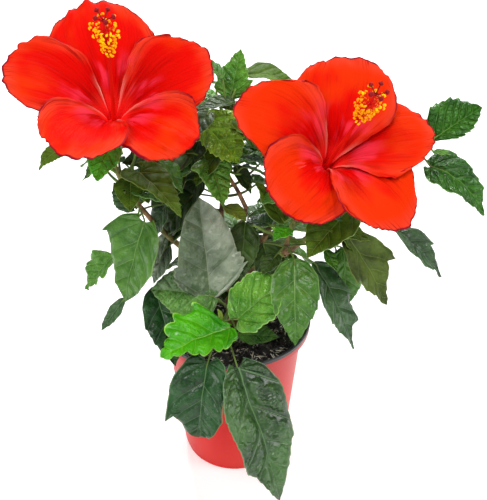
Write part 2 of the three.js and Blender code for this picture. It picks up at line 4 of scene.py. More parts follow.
import bpy
import numpy as np
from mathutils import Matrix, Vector


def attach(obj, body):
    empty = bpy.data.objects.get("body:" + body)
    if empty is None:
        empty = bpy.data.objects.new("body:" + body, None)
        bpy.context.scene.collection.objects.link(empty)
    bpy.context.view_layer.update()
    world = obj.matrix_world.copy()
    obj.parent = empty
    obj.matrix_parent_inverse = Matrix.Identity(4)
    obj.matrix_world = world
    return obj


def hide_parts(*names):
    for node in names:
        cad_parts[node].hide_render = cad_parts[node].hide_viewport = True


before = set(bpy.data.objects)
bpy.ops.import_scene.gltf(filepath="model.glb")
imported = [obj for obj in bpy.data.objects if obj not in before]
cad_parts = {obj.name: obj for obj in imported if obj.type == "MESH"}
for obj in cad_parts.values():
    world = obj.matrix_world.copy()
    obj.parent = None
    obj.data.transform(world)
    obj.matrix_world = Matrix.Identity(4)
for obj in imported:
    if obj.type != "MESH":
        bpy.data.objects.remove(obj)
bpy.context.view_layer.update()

scene = bpy.context.scene
metre = 0.001  # one millimetre


class Card(dict):
    # a dictionary whose entries are also read as attributes
    __getattr__ = dict.__getitem__


def paint(colour):
    # an 8-bit screen colour in Blender's linear light
    def linear(share):
        return share / 12.92 if share <= 0.04045 else ((share + 0.055) / 1.055) ** 2.4
    return [*(linear(value / 255) for value in colour), 1]


class Wire:
    # one socket of a finish, so that maths on it reads as an expression
    def __init__(self, finish, socket):
        self.finish = finish
        self.socket = socket

    def __add__(self, other):
        return self.finish.maths("ADD", self, other)

    def __sub__(self, other):
        return self.finish.maths("SUBTRACT", self, other)

    def __rsub__(self, other):
        return self.finish.maths("SUBTRACT", other, self)

    def __mul__(self, other):
        return self.finish.maths("MULTIPLY", self, other)

    def __truediv__(self, other):
        return self.finish.maths("DIVIDE", self, other)

    __radd__ = __add__
    __rmul__ = __mul__

    def noise(self, scale, detail=3, roughness=0.5):
        sockets = {"Vector": self, "Scale": scale, "Detail": detail, "Roughness": roughness}
        return self.finish.node("TexNoise", {}, sockets)

    def spread(self, low, high):
        # goes softly from 0 where this is low to 1 where it is high
        settings = {"interpolation_type": "SMOOTHSTEP"}
        return self.finish.node("MapRange", settings, {"Value": self, 1: low, 2: high})

    def mix(self, first, second):
        # goes from the first colour to the second as this goes from 0 to 1
        return self.finish.node("Mix", {"data_type": "RGBA"}, {0: self, 6: first, 7: second}, 2)


class Finish:
    # a material and the nodes that feed its one shader; three numbers together are a screen colour
    def __init__(self, name, gloss=0.5):
        self.material = bpy.data.materials.new(name)
        self.material.use_nodes = True
        self.nodes = self.material.node_tree.nodes
        self.set("Specular IOR Level", gloss)

    def plug(self, socket, value):
        if isinstance(value, Wire):
            self.material.node_tree.links.new(value.socket, socket)
        else:
            socket.default_value = paint(value) if isinstance(value, tuple) else value

    def set(self, label, value):
        self.plug(self.nodes["Principled BSDF"].inputs[label], value)

    def node(self, kind, settings, sockets, output=0):
        made = self.nodes.new("ShaderNode" + kind)
        for name, value in settings.items():
            setattr(made, name, value)
        for key, value in sockets.items():
            self.plug(made.inputs[key], value)
        return Wire(self, made.outputs[output])

    def maths(self, operation, *numbers):
        return self.node("Math", {"operation": operation}, dict(enumerate(numbers)))

    def larger(self, *numbers):
        return self.maths("MAXIMUM", *numbers)

    def smaller(self, *numbers):
        return self.maths("MINIMUM", *numbers)

    def marks(self, *names):
        # numbers that the mesh carries at each point
        return [self.node("Attribute", {"attribute_name": name}, {}, "Fac") for name in names]

    def place(self):
        return self.node("TexCoord", {}, {}, "Object")

    def join(self, *numbers):
        return self.node("CombineXYZ", {}, dict(enumerate(numbers)))

    def cover(self, colour, roughness, *relief):
        # the relief is a height, its strength and its depth in metres
        self.set("Base Color", colour)
        self.set("Roughness", roughness)
        if relief:
            self.set("Normal", self.node("Bump", {}, dict(zip(("Height", "Strength", "Distance"), relief))))
        return self


# Vectors and curves

def vector(x, y, z):
    return np.array([x, y, z], float)


def unit(way):
    return way / np.linalg.norm(way, axis=-1, keepdims=True)


def polar(radius, angle, height):
    # points by their distance from the upright axis, their turn about it and their height
    return np.stack(np.broadcast_arrays(radius * np.cos(angle), radius * np.sin(angle), height), axis=-1)


def aim(heading, rise):
    # the way that a heading and a rise above the level point; both may be arrays
    lift = np.radians(rise)
    return polar(np.cos(lift), np.radians(heading), np.sin(lift))


def lerp(low, high, share):
    return low + (high - low) * share


def smooth(value, low, high):
    share = np.clip((value - low) / (high - low), 0, 1)
    return share * share * (3 - 2 * share)


def camel(name):
    first, *more = name.split("_")
    return first + "".join(word.capitalize() for word in more)


def curvePoint(points, share):
    # a smooth path through the points, with knots spaced by the root of their distances
    last = len(points) - 1
    index = min(int(share * last), last - 1)
    along = share * last - index
    before = points[index - 1] if index else 2 * points[0] - points[1]
    here, there = points[index], points[index + 1]
    after = points[index + 2] if index + 2 <= last else 2 * points[last] - points[last - 1]
    near, step, far = (np.linalg.norm(b - a) ** 0.5 for a, b in
                       ((before, here), (here, there), (there, after)))
    leave = step * ((here - before) / near - (there - before) / (near + step) + (there - here) / step)
    enter = step * ((there - here) / step - (after - here) / (step + far) + (after - there) / far)
    bend = -3 * here + 3 * there - 2 * leave - enter
    turn = 2 * here - 2 * there + leave + enter
    return here + along * (leave + along * (bend + along * turn))


def tubeRings(path, radii, around, steps):
    # rings of points round a smooth path; the radii are spaced evenly along it
    path = np.array(path, float)
    shares = np.linspace(0, 1, steps + 1)
    centres = np.array([curvePoint(path, share) for share in shares])
    ahead = unit(np.gradient(centres, axis=0))
    radius = np.interp(shares, np.linspace(0, 1, len(radii)), radii)
    out = np.cross(ahead[0], (1, 0, 0) if abs(ahead[0][0]) < 0.7 else (0, 1, 0))
    angle = np.linspace(0, 2 * np.pi, around, endpoint=False)[:, None]
    rings = []
    for centre, way, size in zip(centres, ahead, radius):
        out = unit(out - way * np.dot(out, way))
        rings.append(centre + size * (out * np.cos(angle) + np.cross(way, out) * np.sin(angle)))
    return np.array(rings)


def turnedRings(profile, around):
    # rings about the upright axis, from the foot of the outline to its end
    radius, height = np.array(profile, float).T[..., None]
    return polar(radius, np.linspace(0, 2 * np.pi, around, endpoint=False), height)


def handsAcross(count):
    # places from the left edge, -1, to the right edge, 1, closer together at the edges
    return np.sin(np.linspace(-1, 1, count + 1) * np.pi / 2)[None]


def folded(top, underside):
    # rings that run across the top of a blade and back along its underside
    return np.concatenate([top, underside[:, ::-1]], axis=1)


class Ripples:
    # a soft random height over a flat place, as a sum of waves
    def __init__(self, dice, size, waves=7):
        turns = dice.uniform(0, 2 * np.pi, waves)
        pace = 2 * np.pi / size * dice.uniform(0.6, 1.6, waves)
        self.across, self.along = pace * np.cos(turns), pace * np.sin(turns)
        self.start = dice.uniform(0, 2 * np.pi, waves)

    def __call__(self, x, y):
        waves = np.sin(x[..., None] * self.across + y[..., None] * self.along + self.start)
        return waves.mean(axis=-1) * 2.2


# Meshes

def stand(name, data):
    made = bpy.data.objects.new(name, data)
    scene.collection.objects.link(made)
    return made


class Bundle:
    # many small shapes of the same kind, each a stack of closed rings, joined into one mesh
    gap = 0.03  # round each shape's square on the map

    def __init__(self, *marks):
        self.points, self.quads, self.slots, self.tiles = [], [], [], []
        self.marks = {name: [] for name in marks}
        self.count = 0

    def add(self, rings, slots=0, **marks):
        rows, around = rings.shape[:2]
        index = self.count + np.arange(rows * around).reshape(rows, around)
        beside = np.roll(index, -1, axis=1)
        quads = np.stack([index[:-1], beside[:-1], beside[1:], index[1:]], axis=-1)
        left, low = np.meshgrid(np.arange(around) / around, np.arange(rows - 1) / (rows - 1))
        right, high = left + 1 / around, low + 1 / (rows - 1)
        tile = np.stack([left, low, right, low, right, high, left, high], axis=-1)
        self.points.append(rings.reshape(-1, 3))
        self.quads.append(quads.reshape(-1, 4))
        self.slots.append(np.broadcast_to(slots, (rows - 1, around)).reshape(-1))
        self.tiles.append(tile.reshape(-1, 2))
        for name, values in self.marks.items():
            values.append(np.broadcast_to(marks.get(name, 0), (rows, around)).reshape(-1))
        self.count += rows * around

    def bakeMap(self):
        # each shape gets a square of its own on the map that the colours are kept on
        side = math.ceil(math.sqrt(len(self.tiles)))
        return np.concatenate([
            np.array([number % side, number // side]) + self.gap + tile * (1 - 2 * self.gap)
            for number, tile in enumerate(self.tiles)]) / side

    def piece(self, name, finishes, slot, *replaced, crease=50):
        mesh = bpy.data.meshes.new(name)
        points = np.concatenate(self.points) * metre
        mesh.from_pydata(points.tolist(), [], np.concatenate(self.quads).tolist())
        for finish in finishes:
            mesh.materials.append(finish.material)
        mesh.polygons.foreach_set("material_index", np.concatenate(self.slots).astype(np.int32))
        mesh.uv_layers.new(name="OFBake").data.foreach_set("uv", self.bakeMap().ravel())
        for label, values in self.marks.items():
            mark = mesh.attributes.new(label, "FLOAT", "POINT")
            mark.data.foreach_set("value", np.concatenate(values).astype(np.float32))
        mesh.shade_smooth()
        mesh.set_sharp_from_angle(angle=math.radians(crease))
        made = stand(name, mesh)
        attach(made, "root")
        if replaced:
            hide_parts(*replaced)
        print("made", name, 2 * len(mesh.polygons), "triangles")


# Camera, floor and light

photoView = Card(place=(7.77, -542.45, 558.74), pitch=33, lens=57.6)
studio = Card(
    view="Standard", sky=(1, 1, 1, 1), skyStrength=0.5, target=(0, 0, 0.25),
    floorSize=8, floor=(244, 244, 244), floorRough=0.9, floorLight=(255, 255, 255), floorGlow=0.2,
    boxes={  # place, power and width of each soft box, in metres and watts
        "keyBox": ((-0.9, -1.3, 1.9), 31, 1.1),
        "rightBox": ((1.5, -0.5, 1.3), 14, 0.9),
        "backBox": ((0.4, 1.5, 1.6), 20, 1.0),
        "backGlint": ((-0.35, 1.5, 1.25), 12, 0.2),
        "topGlint": ((0.3, 0.1, 1.9), 10, 0.2),
    },
)


def makeCamera():
    lens = bpy.data.cameras.new("camera")
    lens.lens = photoView.lens
    scene.camera = stand("camera", lens)
    scene.camera.location = [value * metre for value in photoView.place]
    scene.camera.rotation_euler = (math.radians(90 - photoView.pitch), 0, 0)


def makeStudio():
    scene.view_settings.view_transform = studio.view
    scene.world = bpy.data.worlds.new("studio")
    scene.world.use_nodes = True
    sky = scene.world.node_tree.nodes["Background"]
    sky.inputs["Color"].default_value = studio.sky
    sky.inputs["Strength"].default_value = studio.skyStrength
    for name, (place, power, width) in studio.boxes.items():
        light = bpy.data.lights.new(name, "AREA")
        light.energy, light.size = power, width
        box = stand(name, light)
        box.location = place
        box.rotation_euler = (Vector(studio.target) - Vector(place)).to_track_quat("-Z", "Y").to_euler()
    half = studio.floorSize / 2
    corners = [(-half, -half, 0), (half, -half, 0), (half, half, 0), (-half, half, 0)]
    mesh = bpy.data.meshes.new("floor")
    mesh.from_pydata(corners, [], [(0, 1, 2, 3)])
    paper = Finish("floorPaper").cover(studio.floor, studio.floorRough)
    paper.set("Emission Color", studio.floorLight)
    paper.set("Emission Strength", studio.floorGlow)
    mesh.materials.append(paper.material)
    floor = stand("floor", mesh)


# Pot and potting mix

pot = Card(
    height=140, rimRadius=65, lipHeight=8, lipFlare=0.8, lipThickness=1.8, band=3.8, ease=0.5,
    wallTopRadius=58.1, wall=1.8, stepHeight=6.5, stepRadius=46.8, footRadius=45.3, under=8, around=160,
    # dusty is a painted reflection: the pale pinkish grey that the upper wall goes over to
    red=(200, 24, 19), pale=(207, 45, 37), dusty=(174, 76, 76), black=(26, 27, 29),
)
soil = Card(
    top=128, edgeDrop=3, rings=60, around=150, mounds=26, moundRise=1.3, crumbs=7, crumbRise=1.1, sink=0.8,
    clods=900, clodReach=(1.6, 5), clodGirth=(0.5, 1.5), rise=(-0.8, 1.2), tilt=(-8, 22), bow=0.16,
    fibres=900, fibreReach=(4, 13), fibreGirth=(0.2, 0.5), girths=[0.15, 0.8, 1, 0.9, 0.1],
    dark=(17, 15, 14), brown=(84, 70, 60), fibre=(240, 232, 214),
)


def redPlastic():
    finish = Finish("redPlastic", 0.2)
    where = finish.place()
    cloud = where.noise(14, 2)
    height = finish.node("SeparateXYZ", {}, {0: where}, 2)
    wall = cloud.spread(0.35, 0.7).mix(pot.red, pot.pale)
    # painted sheen: towards its top the wall goes halfway over to a pale pinkish grey, in place of the glossy
    # reflection on the plastic
    wall = (0.5 * height.spread(0.05, 0.13)).mix(wall, pot.dusty)
    return finish.cover(wall, 0.34 + 0.12 * cloud, where.noise(900, 2), 0.12, 0.0004)


def blackPlastic():
    finish = Finish("blackPlastic")
    where = finish.place()
    return finish.cover(pot.black, 0.3 + 0.25 * where.noise(120), where.noise(700, 2), 0.2, 0.0004)


def insideWall(height):
    share = (height - pot.stepHeight) / (pot.height - pot.lipHeight - pot.stepHeight)
    return lerp(pot.stepRadius, pot.wallTopRadius, share) - pot.wall


def makePot():
    top, rim, foot, step, ease = pot.height, pot.rimRadius, pot.footRadius, pot.stepHeight, pot.ease
    lipFoot, lip = top - pot.lipHeight, rim - pot.lipFlare
    bandFoot, band = top - pot.band, rim - pot.lipFlare * pot.band / pot.lipHeight
    inner, under = rim - pot.lipThickness, soil.top - pot.under
    outside = [
        (0, 0), (foot - 1, 0), (foot, 1), (foot, step - 1), (pot.stepRadius, step),
        (pot.wallTopRadius, lipFoot - 0.3), (lip - 0.3, lipFoot - 0.3), (lip, lipFoot), (band, bandFoot),
    ]
    inside = [
        (band - 0.6, bandFoot), (band, bandFoot + 0.1), (rim - 0.2, top - 1.6), (rim, top - 0.8),
        (rim - ease, top), (inner + ease, top), (inner, top - 0.8),
        (lip - pot.lipThickness - 0.6, lipFoot + 2.6), (insideWall(lipFoot), lipFoot - 0.4),
        (insideWall(under), under),
    ]
    shell = Bundle()
    shell.add(turnedRings(outside, pot.around), 0)
    shell.add(turnedRings(inside, pot.around), 1)
    shell.piece("potShell", [redPlastic(), blackPlastic()], "pot_plastic", "pot", crease=35)


def mixFinish():
    finish = Finish("pottingMix")
    crumbs = finish.place().noise(260, 5, 0.7)
    colour = crumbs.spread(0.45, 0.75).mix(soil.dark, soil.brown)
    return finish.cover(colour, 0.3 + 0.4 * crumbs, crumbs, 0.8, 0.003)


def fibreFinish():
    finish = Finish("fibre")
    tint = finish.place().noise(110, 2)
    return finish.cover(tint.spread(0.44, 0.6).mix(soil.dark, soil.fibre), 0.35 + 0.3 * tint)


def makeSoil():
    dice = np.random.default_rng(11)
    edge = insideWall(soil.top) - 0.8
    mounds, crumbs = Ripples(dice, soil.mounds), Ripples(dice, soil.crumbs, 12)
    shares = np.linspace(1, 0, soil.rings)
    heights = soil.top - soil.edgeDrop * shares ** 6
    top = turnedRings(np.stack([edge * shares, heights], axis=-1), soil.around)
    x, y = top[..., 0], top[..., 1]
    top[..., 2] += soil.moundRise * mounds(x, y) + soil.crumbRise * crumbs(x, y) - soil.sink
    bed = Bundle()
    bed.add(top)
    for number in range(soil.clods + soil.fibres):
        fibre = number >= soil.clods
        out = (edge - 3) * math.sqrt(dice.uniform(0, 1))
        root = aim(dice.uniform(0, 360), 0) * out
        root[2] = soil.top - 0.6 + dice.uniform(*soil.rise)
        reach = dice.uniform(*(soil.fibreReach if fibre else soil.clodReach))
        way = aim(dice.uniform(0, 360), dice.uniform(*soil.tilt)) * reach
        bow = dice.uniform(-soil.bow, soil.bow, 3) * reach
        girths = np.array(soil.girths) * dice.uniform(*(soil.fibreGirth if fibre else soil.clodGirth))
        bed.add(tubeRings([root - way / 2, root + bow, root + way / 2], girths, 5, 4), int(fibre))
    bed.piece("pottingMix", [mixFinish(), fibreFinish()], "potting_mix", "soil")


# Trunk and boughs

limbs = {
    "trunk": ([(0, 8, 128.3), (0, 8, 135), (-2, 7, 150), (-4, 6, 168)], [9.5, 6.8, 6.2, 5.6]),
    "left_bough": ([(-3, 6, 160), (-22, 3, 190), (-46, 0, 213), (-64, -8, 240)], [3.1, 2]),
    "right_bough": ([(-2, 5, 158), (12, -4, 184), (25, -10, 202), (40, -14, 212)], [3.3, 2.2]),
    "centre_bough": ([(-4, 6, 164), (-9, 12, 198), (-10, 15, 230)], [3.5, 2.1]),
    "far_bough": ([(-1, 8, 154), (40, 16, 190), (85, 18, 228), (124, 12, 268)], [2.7, 1.5]),
    "back_left_bough": ([(-3, 8, 156), (-24, 34, 196), (-46, 58, 232)], [3.1, 1.9]),
    "back_right_bough": ([(-1, 9, 152), (24, 40, 190), (50, 66, 228)], [3.1, 1.9]),
}
sideTwigs = [  # bare twigs that carry on from the centre bough
    ([(-6, 9, 188), (-2, 6, 217), (9, 4, 236), (10, 2, 246)], (1.1, 1.3)),
    ([(10, 2, 244), (3, 8, 257), (-4, 14, 267), (-7, 24, 276)], (1.8, 1.4)),
]
bark = Card(
    around=26, rowEvery=1.1, relief=0.05, ridges=5, knots=16, stretch=2.2,
    trunkYouth=(0, 0), boughYouth=(0.05, 0.5),
    brown=(168, 126, 86), dark=(90, 60, 42), green=(92, 108, 44), young=(104, 136, 48),
)


def barkFinish():
    # woody brown, going over to green where the limb is young
    finish = Finish("bark")
    young, = finish.marks("young")
    where = finish.place()
    patch, fleck = where.noise(130, 4, 0.6), where.noise(600)
    wood = patch.spread(0.35, 0.65).mix(bark.dark, bark.brown)
    fresh = patch.spread(0.3, 0.7).mix(bark.green, bark.young)
    colour = (young + 0.35 * patch).spread(0.35, 0.85).mix(wood, fresh)
    return finish.cover(colour, 0.62 + 0.2 * fleck, patch + 0.4 * fleck, 0.35, 0.0012)


def makeWood(finish):
    dice = np.random.default_rng(5)
    turn = np.arange(bark.around) * 2 * np.pi / bark.around
    for name, (path, radii) in limbs.items():
        path = np.array(path, float)
        steps = int(sum(np.linalg.norm(b - a) for a, b in zip(path, path[1:])) / bark.rowEvery)
        rings = tubeRings(path, radii, bark.around, steps)
        centre = rings.mean(axis=1, keepdims=True)
        rows = np.arange(steps + 1)[:, None] * bark.rowEvery
        girth = np.mean(radii)
        ridges, knots = Ripples(dice, bark.ridges, 9), Ripples(dice, bark.knots)
        x, y = np.cos(turn) * girth + 0 * rows, np.sin(turn) * girth + rows / bark.stretch
        relief = bark.relief * (ridges(x, y) + knots(x, y))
        youth = np.linspace(*(bark.trunkYouth if name == "trunk" else bark.boughYouth), steps + 1)
        wood = Bundle("young")
        wood.add(centre + (rings - centre) * (1 + relief[..., None]), young=youth[:, None])
        wood.piece(camel(name) + "Bark", [finish], "bark", name)
    spare = Bundle("young")
    for path, radii in sideTwigs:
        spare.add(tubeRings(path, radii, 12, 30))
    spare.piece("sideTwigs", [finish], "bark")


# Leaves

# Half widths along a blade, with those of its right side where it is uneven, in hundredths of its length.
# Its teeth lie from one share of its length up to another.
outlines = {
    "toothed": Card(
        edge=[(0, 3), (5, 19), (20, 31), (40, 33), (60, 27), (72, 19), (86, 10), (100, 0.5)],
        teeth=10, tooth=0.015, start=0.3, heart=0.03, wave=0.012),
    "eared": Card(
        edge=[(0, 3), (7, 18), (17, 29), (29, 35), (37, 33.5), (42, 31), (50, 30), (62, 27), (74, 23.5),
              (85, 18), (94, 10), (100, 0.5)],
        teeth=16, tooth=0.05, start=0.1, until=0.42, heart=0.02, wave=0.01),
    "lobed": Card(
        edge=[(0, 3), (6, 18), (25, 29), (44, 33), (55, 28), (70, 21), (86, 9), (100, 0.5)],
        teeth=9, tooth=0.022, start=0.2, heart=0.04, wave=0.016),
    "shouldered": Card(
        edge=[(0, 6), (4, 26), (12, 36), (22, 33), (40, 29), (55, 25), (80, 13), (92, 5), (100, 0.5)],
        teeth=9, tooth=0.024, start=0.02, until=0.95, heart=0.09, wave=0.02),
    "heart": Card(
        edge=[(0, 12), (3, 28), (10, 32), (23, 32), (40, 27), (59, 20), (80, 11), (92, 5), (100, 0.5)],
        right=[(0, 12), (3, 32), (8, 34), (16, 30), (24, 22), (33, 20), (46, 15), (71, 8), (100, 0.5)],
        teeth=9, tooth=0.028, start=0, until=0.95, heart=0.2, wave=0.02),
    "winged": Card(
        edge=[(0, 10), (8, 25), (29, 31), (48, 30), (69, 22), (86, 11), (95, 4), (100, 0.5)],
        right=[(0, 10), (5, 25), (12, 32), (20, 37), (25, 35), (32, 29), (40, 26.5), (55, 20), (76, 13.6),
               (90, 6), (100, 0.5)],
        teeth=6, tooth=0.012, start=0.2, heart=0.06, wave=0.012),
    "curled": Card(
        edge=[(0, 10), (3, 24), (20, 32), (50, 32), (70, 30), (84, 22), (94, 14), (100, 2)],
        right=[(0, 10), (2, 25), (20, 38), (40, 44), (55, 40), (70, 33), (76, 28), (90, 21), (97, 12),
               (100, 2)],
        teeth=6, tooth=0.008, start=0.2, heart=0.09, wave=0.03),
    "long": Card(
        edge=[(0, 6), (7, 18.5), (20, 24.5), (32, 24.5), (48, 22.8), (60, 20), (70, 15.5), (82, 10), (93, 5),
              (100, 0.5)],
        teeth=14, tooth=0.008, start=0.1, heart=0.05, wave=0.008),
    "leaning": Card(
        edge=[(0, 8), (8, 30), (25, 46), (45, 45), (60, 40), (78, 27), (90, 14), (100, 1)],
        right=[(0, 4), (14, 16), (37, 27), (62, 26), (84, 15), (100, 1)],
        teeth=9, tooth=0.04, start=0.08, heart=0.08, wave=0.02),
    "round": Card(
        edge=[(0, 10), (2, 27), (16, 43), (33, 46), (50, 47), (62, 43), (75, 36), (87, 20), (95, 9),
              (100, 2)],
        teeth=9, tooth=0.035, start=0.05, heart=0.12, wave=0.03, rounded=True),
    "broad": Card(
        edge=[(0, 4), (5, 26), (24, 41), (50, 41), (80, 22), (93, 10), (100, 1)],
        teeth=10, tooth=0.026, start=0.12, heart=0.09, wave=0.025),
    "frilled": Card(
        edge=[(0, 8), (3, 20), (18, 26), (39, 25), (57.5, 18), (83, 8), (100, 1)],
        right=[(0, 5), (8, 20), (14, 28), (25, 35), (39, 36), (50, 34), (60, 30), (73, 22), (85, 12),
               (100, 1)],
        teeth=7, tooth=0.075, start=0, heart=0.04, wave=0.05, rounded=True),
    "slim": Card(
        edge=[(0, 2), (8, 12), (35, 20), (65, 15), (86, 7), (100, 0.5)],
        teeth=6, tooth=0.014, start=0.4, heart=0, wave=0.014),
    "plain": Card(
        edge=[(0, 3), (6, 20), (28, 32), (55, 26), (82, 12), (100, 0.5)],
        teeth=8, tooth=0.022, start=0.2, heart=0.04, wave=0.02),
}
evenShape = Card(right=(), until=1, rounded=False)
blade = Card(
    fold=0.22, thickness=0.4, pillow=0.014, heroRows=64, heroAcross=26, rows=30, across=14,
    veinSlope=0.72, veinBend=0.7, quicker=1.5, lowPace=1.25, veinWidth=0.035, ribWidth=0.011, shift=0.05,
    lobeRise=0.15, lobeFall=0.06, toothTop=0.78, uneven=(0.45, 1.2), denser=(0.9, 1.15), waves=(2.2, 3.4),
)
plainTone = Card(
    rough=0.2, gloss=0.36, veins=0.6, rim=0.5, blisters=0.35, relief=0.5, pace=3.2, lumps=15, half=0)


def toned(deep, face, vein, **more):
    # the colours of a leaf's shade, light and veins, and where it isn't as a plain leaf
    return Card(plainTone, deep=deep, face=face, vein=vein, **more)


leafTones = {
    "bright": toned((30, 120, 1), (80, 176, 2), (156, 214, 60), blisters=0.5, rim=0.7),
    "fresh": toned((36, 94, 10), (90, 146, 36), (150, 196, 94), blisters=0.6),
    "crisp": toned((50, 120, 18), (120, 182, 62), (176, 218, 120), blisters=0.85, rim=0.7, relief=0.7,
                   gloss=0.45),
    "leafy": toned((16, 68, 5), (58, 120, 16), (140, 192, 94), pace=5, blisters=0.8, veins=1, relief=1,
                   lumps=20, gloss=0.45),
    "mid": toned((38, 84, 18), (82, 130, 44), (146, 186, 106), blisters=0.2),
    "dark": toned((26, 44, 14), (60, 88, 34), (104, 136, 74), blisters=0.15, relief=0.35, gloss=0.24,
                  rough=0.3),
    "bottle": toned((12, 42, 14), (40, 84, 38), (120, 160, 104), blisters=0.3, gloss=0.34),
    "shiny": toned((46, 96, 26), (102, 154, 68), (176, 206, 140), blisters=0.9, lumps=18, gloss=0.6,
                   relief=0.8, half=0.4),
    "khaki": toned((40, 54, 10), (82, 102, 30), (134, 156, 76), rough=0.4, gloss=0.2, blisters=0.1,
                   relief=0.35),
    "pine": toned((20, 46, 22), (62, 98, 50), (112, 150, 98), blisters=0.25),
    "quilt": toned((14, 42, 16), (68, 108, 50), (116, 158, 100), blisters=1, lumps=11, gloss=0.55,
                   relief=0.8),
    # painted reflection: a dark green leaf is given a grey-green colour in place of its broad glossy sheen
    "grey": toned((56, 74, 50), (104, 124, 92), (150, 164, 128), veins=0.5, half=0.5, gloss=0.5, lumps=20),
    "olive": toned((42, 64, 8), (82, 112, 26), (144, 168, 80), rough=0.5, gloss=0.12, blisters=0.1,
                   relief=0.35),
    "moss": toned((64, 112, 8), (142, 188, 38), (186, 224, 90), blisters=1, lumps=24, relief=1, veins=0.8,
                  rim=0.8, gloss=0.45),
    "lime": toned((104, 136, 24), (150, 178, 50), (196, 212, 120), rough=0.4),
}
undersides = toned((70, 102, 46), (104, 136, 72), (156, 182, 118), rough=0.55, gloss=0.2)
paintedGloss = (172, 180, 162)  # painted sheen: the pale grey-green painted on one half of a grey or shiny leaf in place of its reflection
toneNames = list(leafTones)
leafMarks = ("across", "along", "leaf", "edge")
# a tube is its radii, the points round it and the steps along it
stalk = Card(tube=([0.85, 0.6], 7, 10), intoBlade=4, arch=0.06)
twig = Card(
    tube=([1.4, 0.8], 8, 14), leaves=3, firstRoot=0.12, rise=(0, 70), bend=20, span=(0.7, 1.1), golden=0.618,
    offset=0.3, room=13,
)
ruled = Card(
    turn=(45, 85), sway=(-15, 15), size=(0.7, 1.1), stalkShare=0.3, stalkRise=(10, 45), pitch=(-45, 5),
    width=(0.9, 1.2), droop=(10, 35), roll=(-20, 20),
)
grownTones = ["dark", "mid", "olive", "pine", "mid", "fresh", "dark"]
finer = Card(passes=3, room=8, count=9, reach=0.85, length=0.72, seed=40)
tucked = {  # small leaves that fill in behind the large ones once the twigs are grown
    "centre_shoot": [
        ((0.25, (194, 42, 21), (214, -52, 35)), "dark", 1.2),
        ((0.15, (174, 26, 22), (218, -46, 33)), "dark", 1.1),
        ((0.3, (7, 52, 17), (322, -43, 25)), "dark", 1),
        ((0.05, (184, 2, 26), (199, -42, 34)), "dark", 1.2),
        ((0.05, (184, -1, 27), (210, -43, 37)), "dark", 1.2),
        ((0.05, (193, -32, 52), (221, -51, 35)), "grey", 1.1),
        ((0.85, (0, 73, 18), (182, -4, 30)), "dark", 1.2),
    ],
    "left_shoot": [
        ((0.12, (10, 6, 18), (215, -60, 28)), "pine", 1.2),
    ],
}


def row(at, stalk, blade, kind, tone, droop=0, roll=0, width=1, lobes=(), hero=True):
    # At is a share of the stem, stalk is heading, rise, reach, and blade is heading, pitch, length. A lobe is
    # its side, its place along the blade, how far it stands out and how far it points ahead.
    return Card(at=at, stalk=stalk, blade=blade, kind=kind, tone=tone, droop=droop, roll=roll, width=width,
                lobes=lobes, hero=hero)


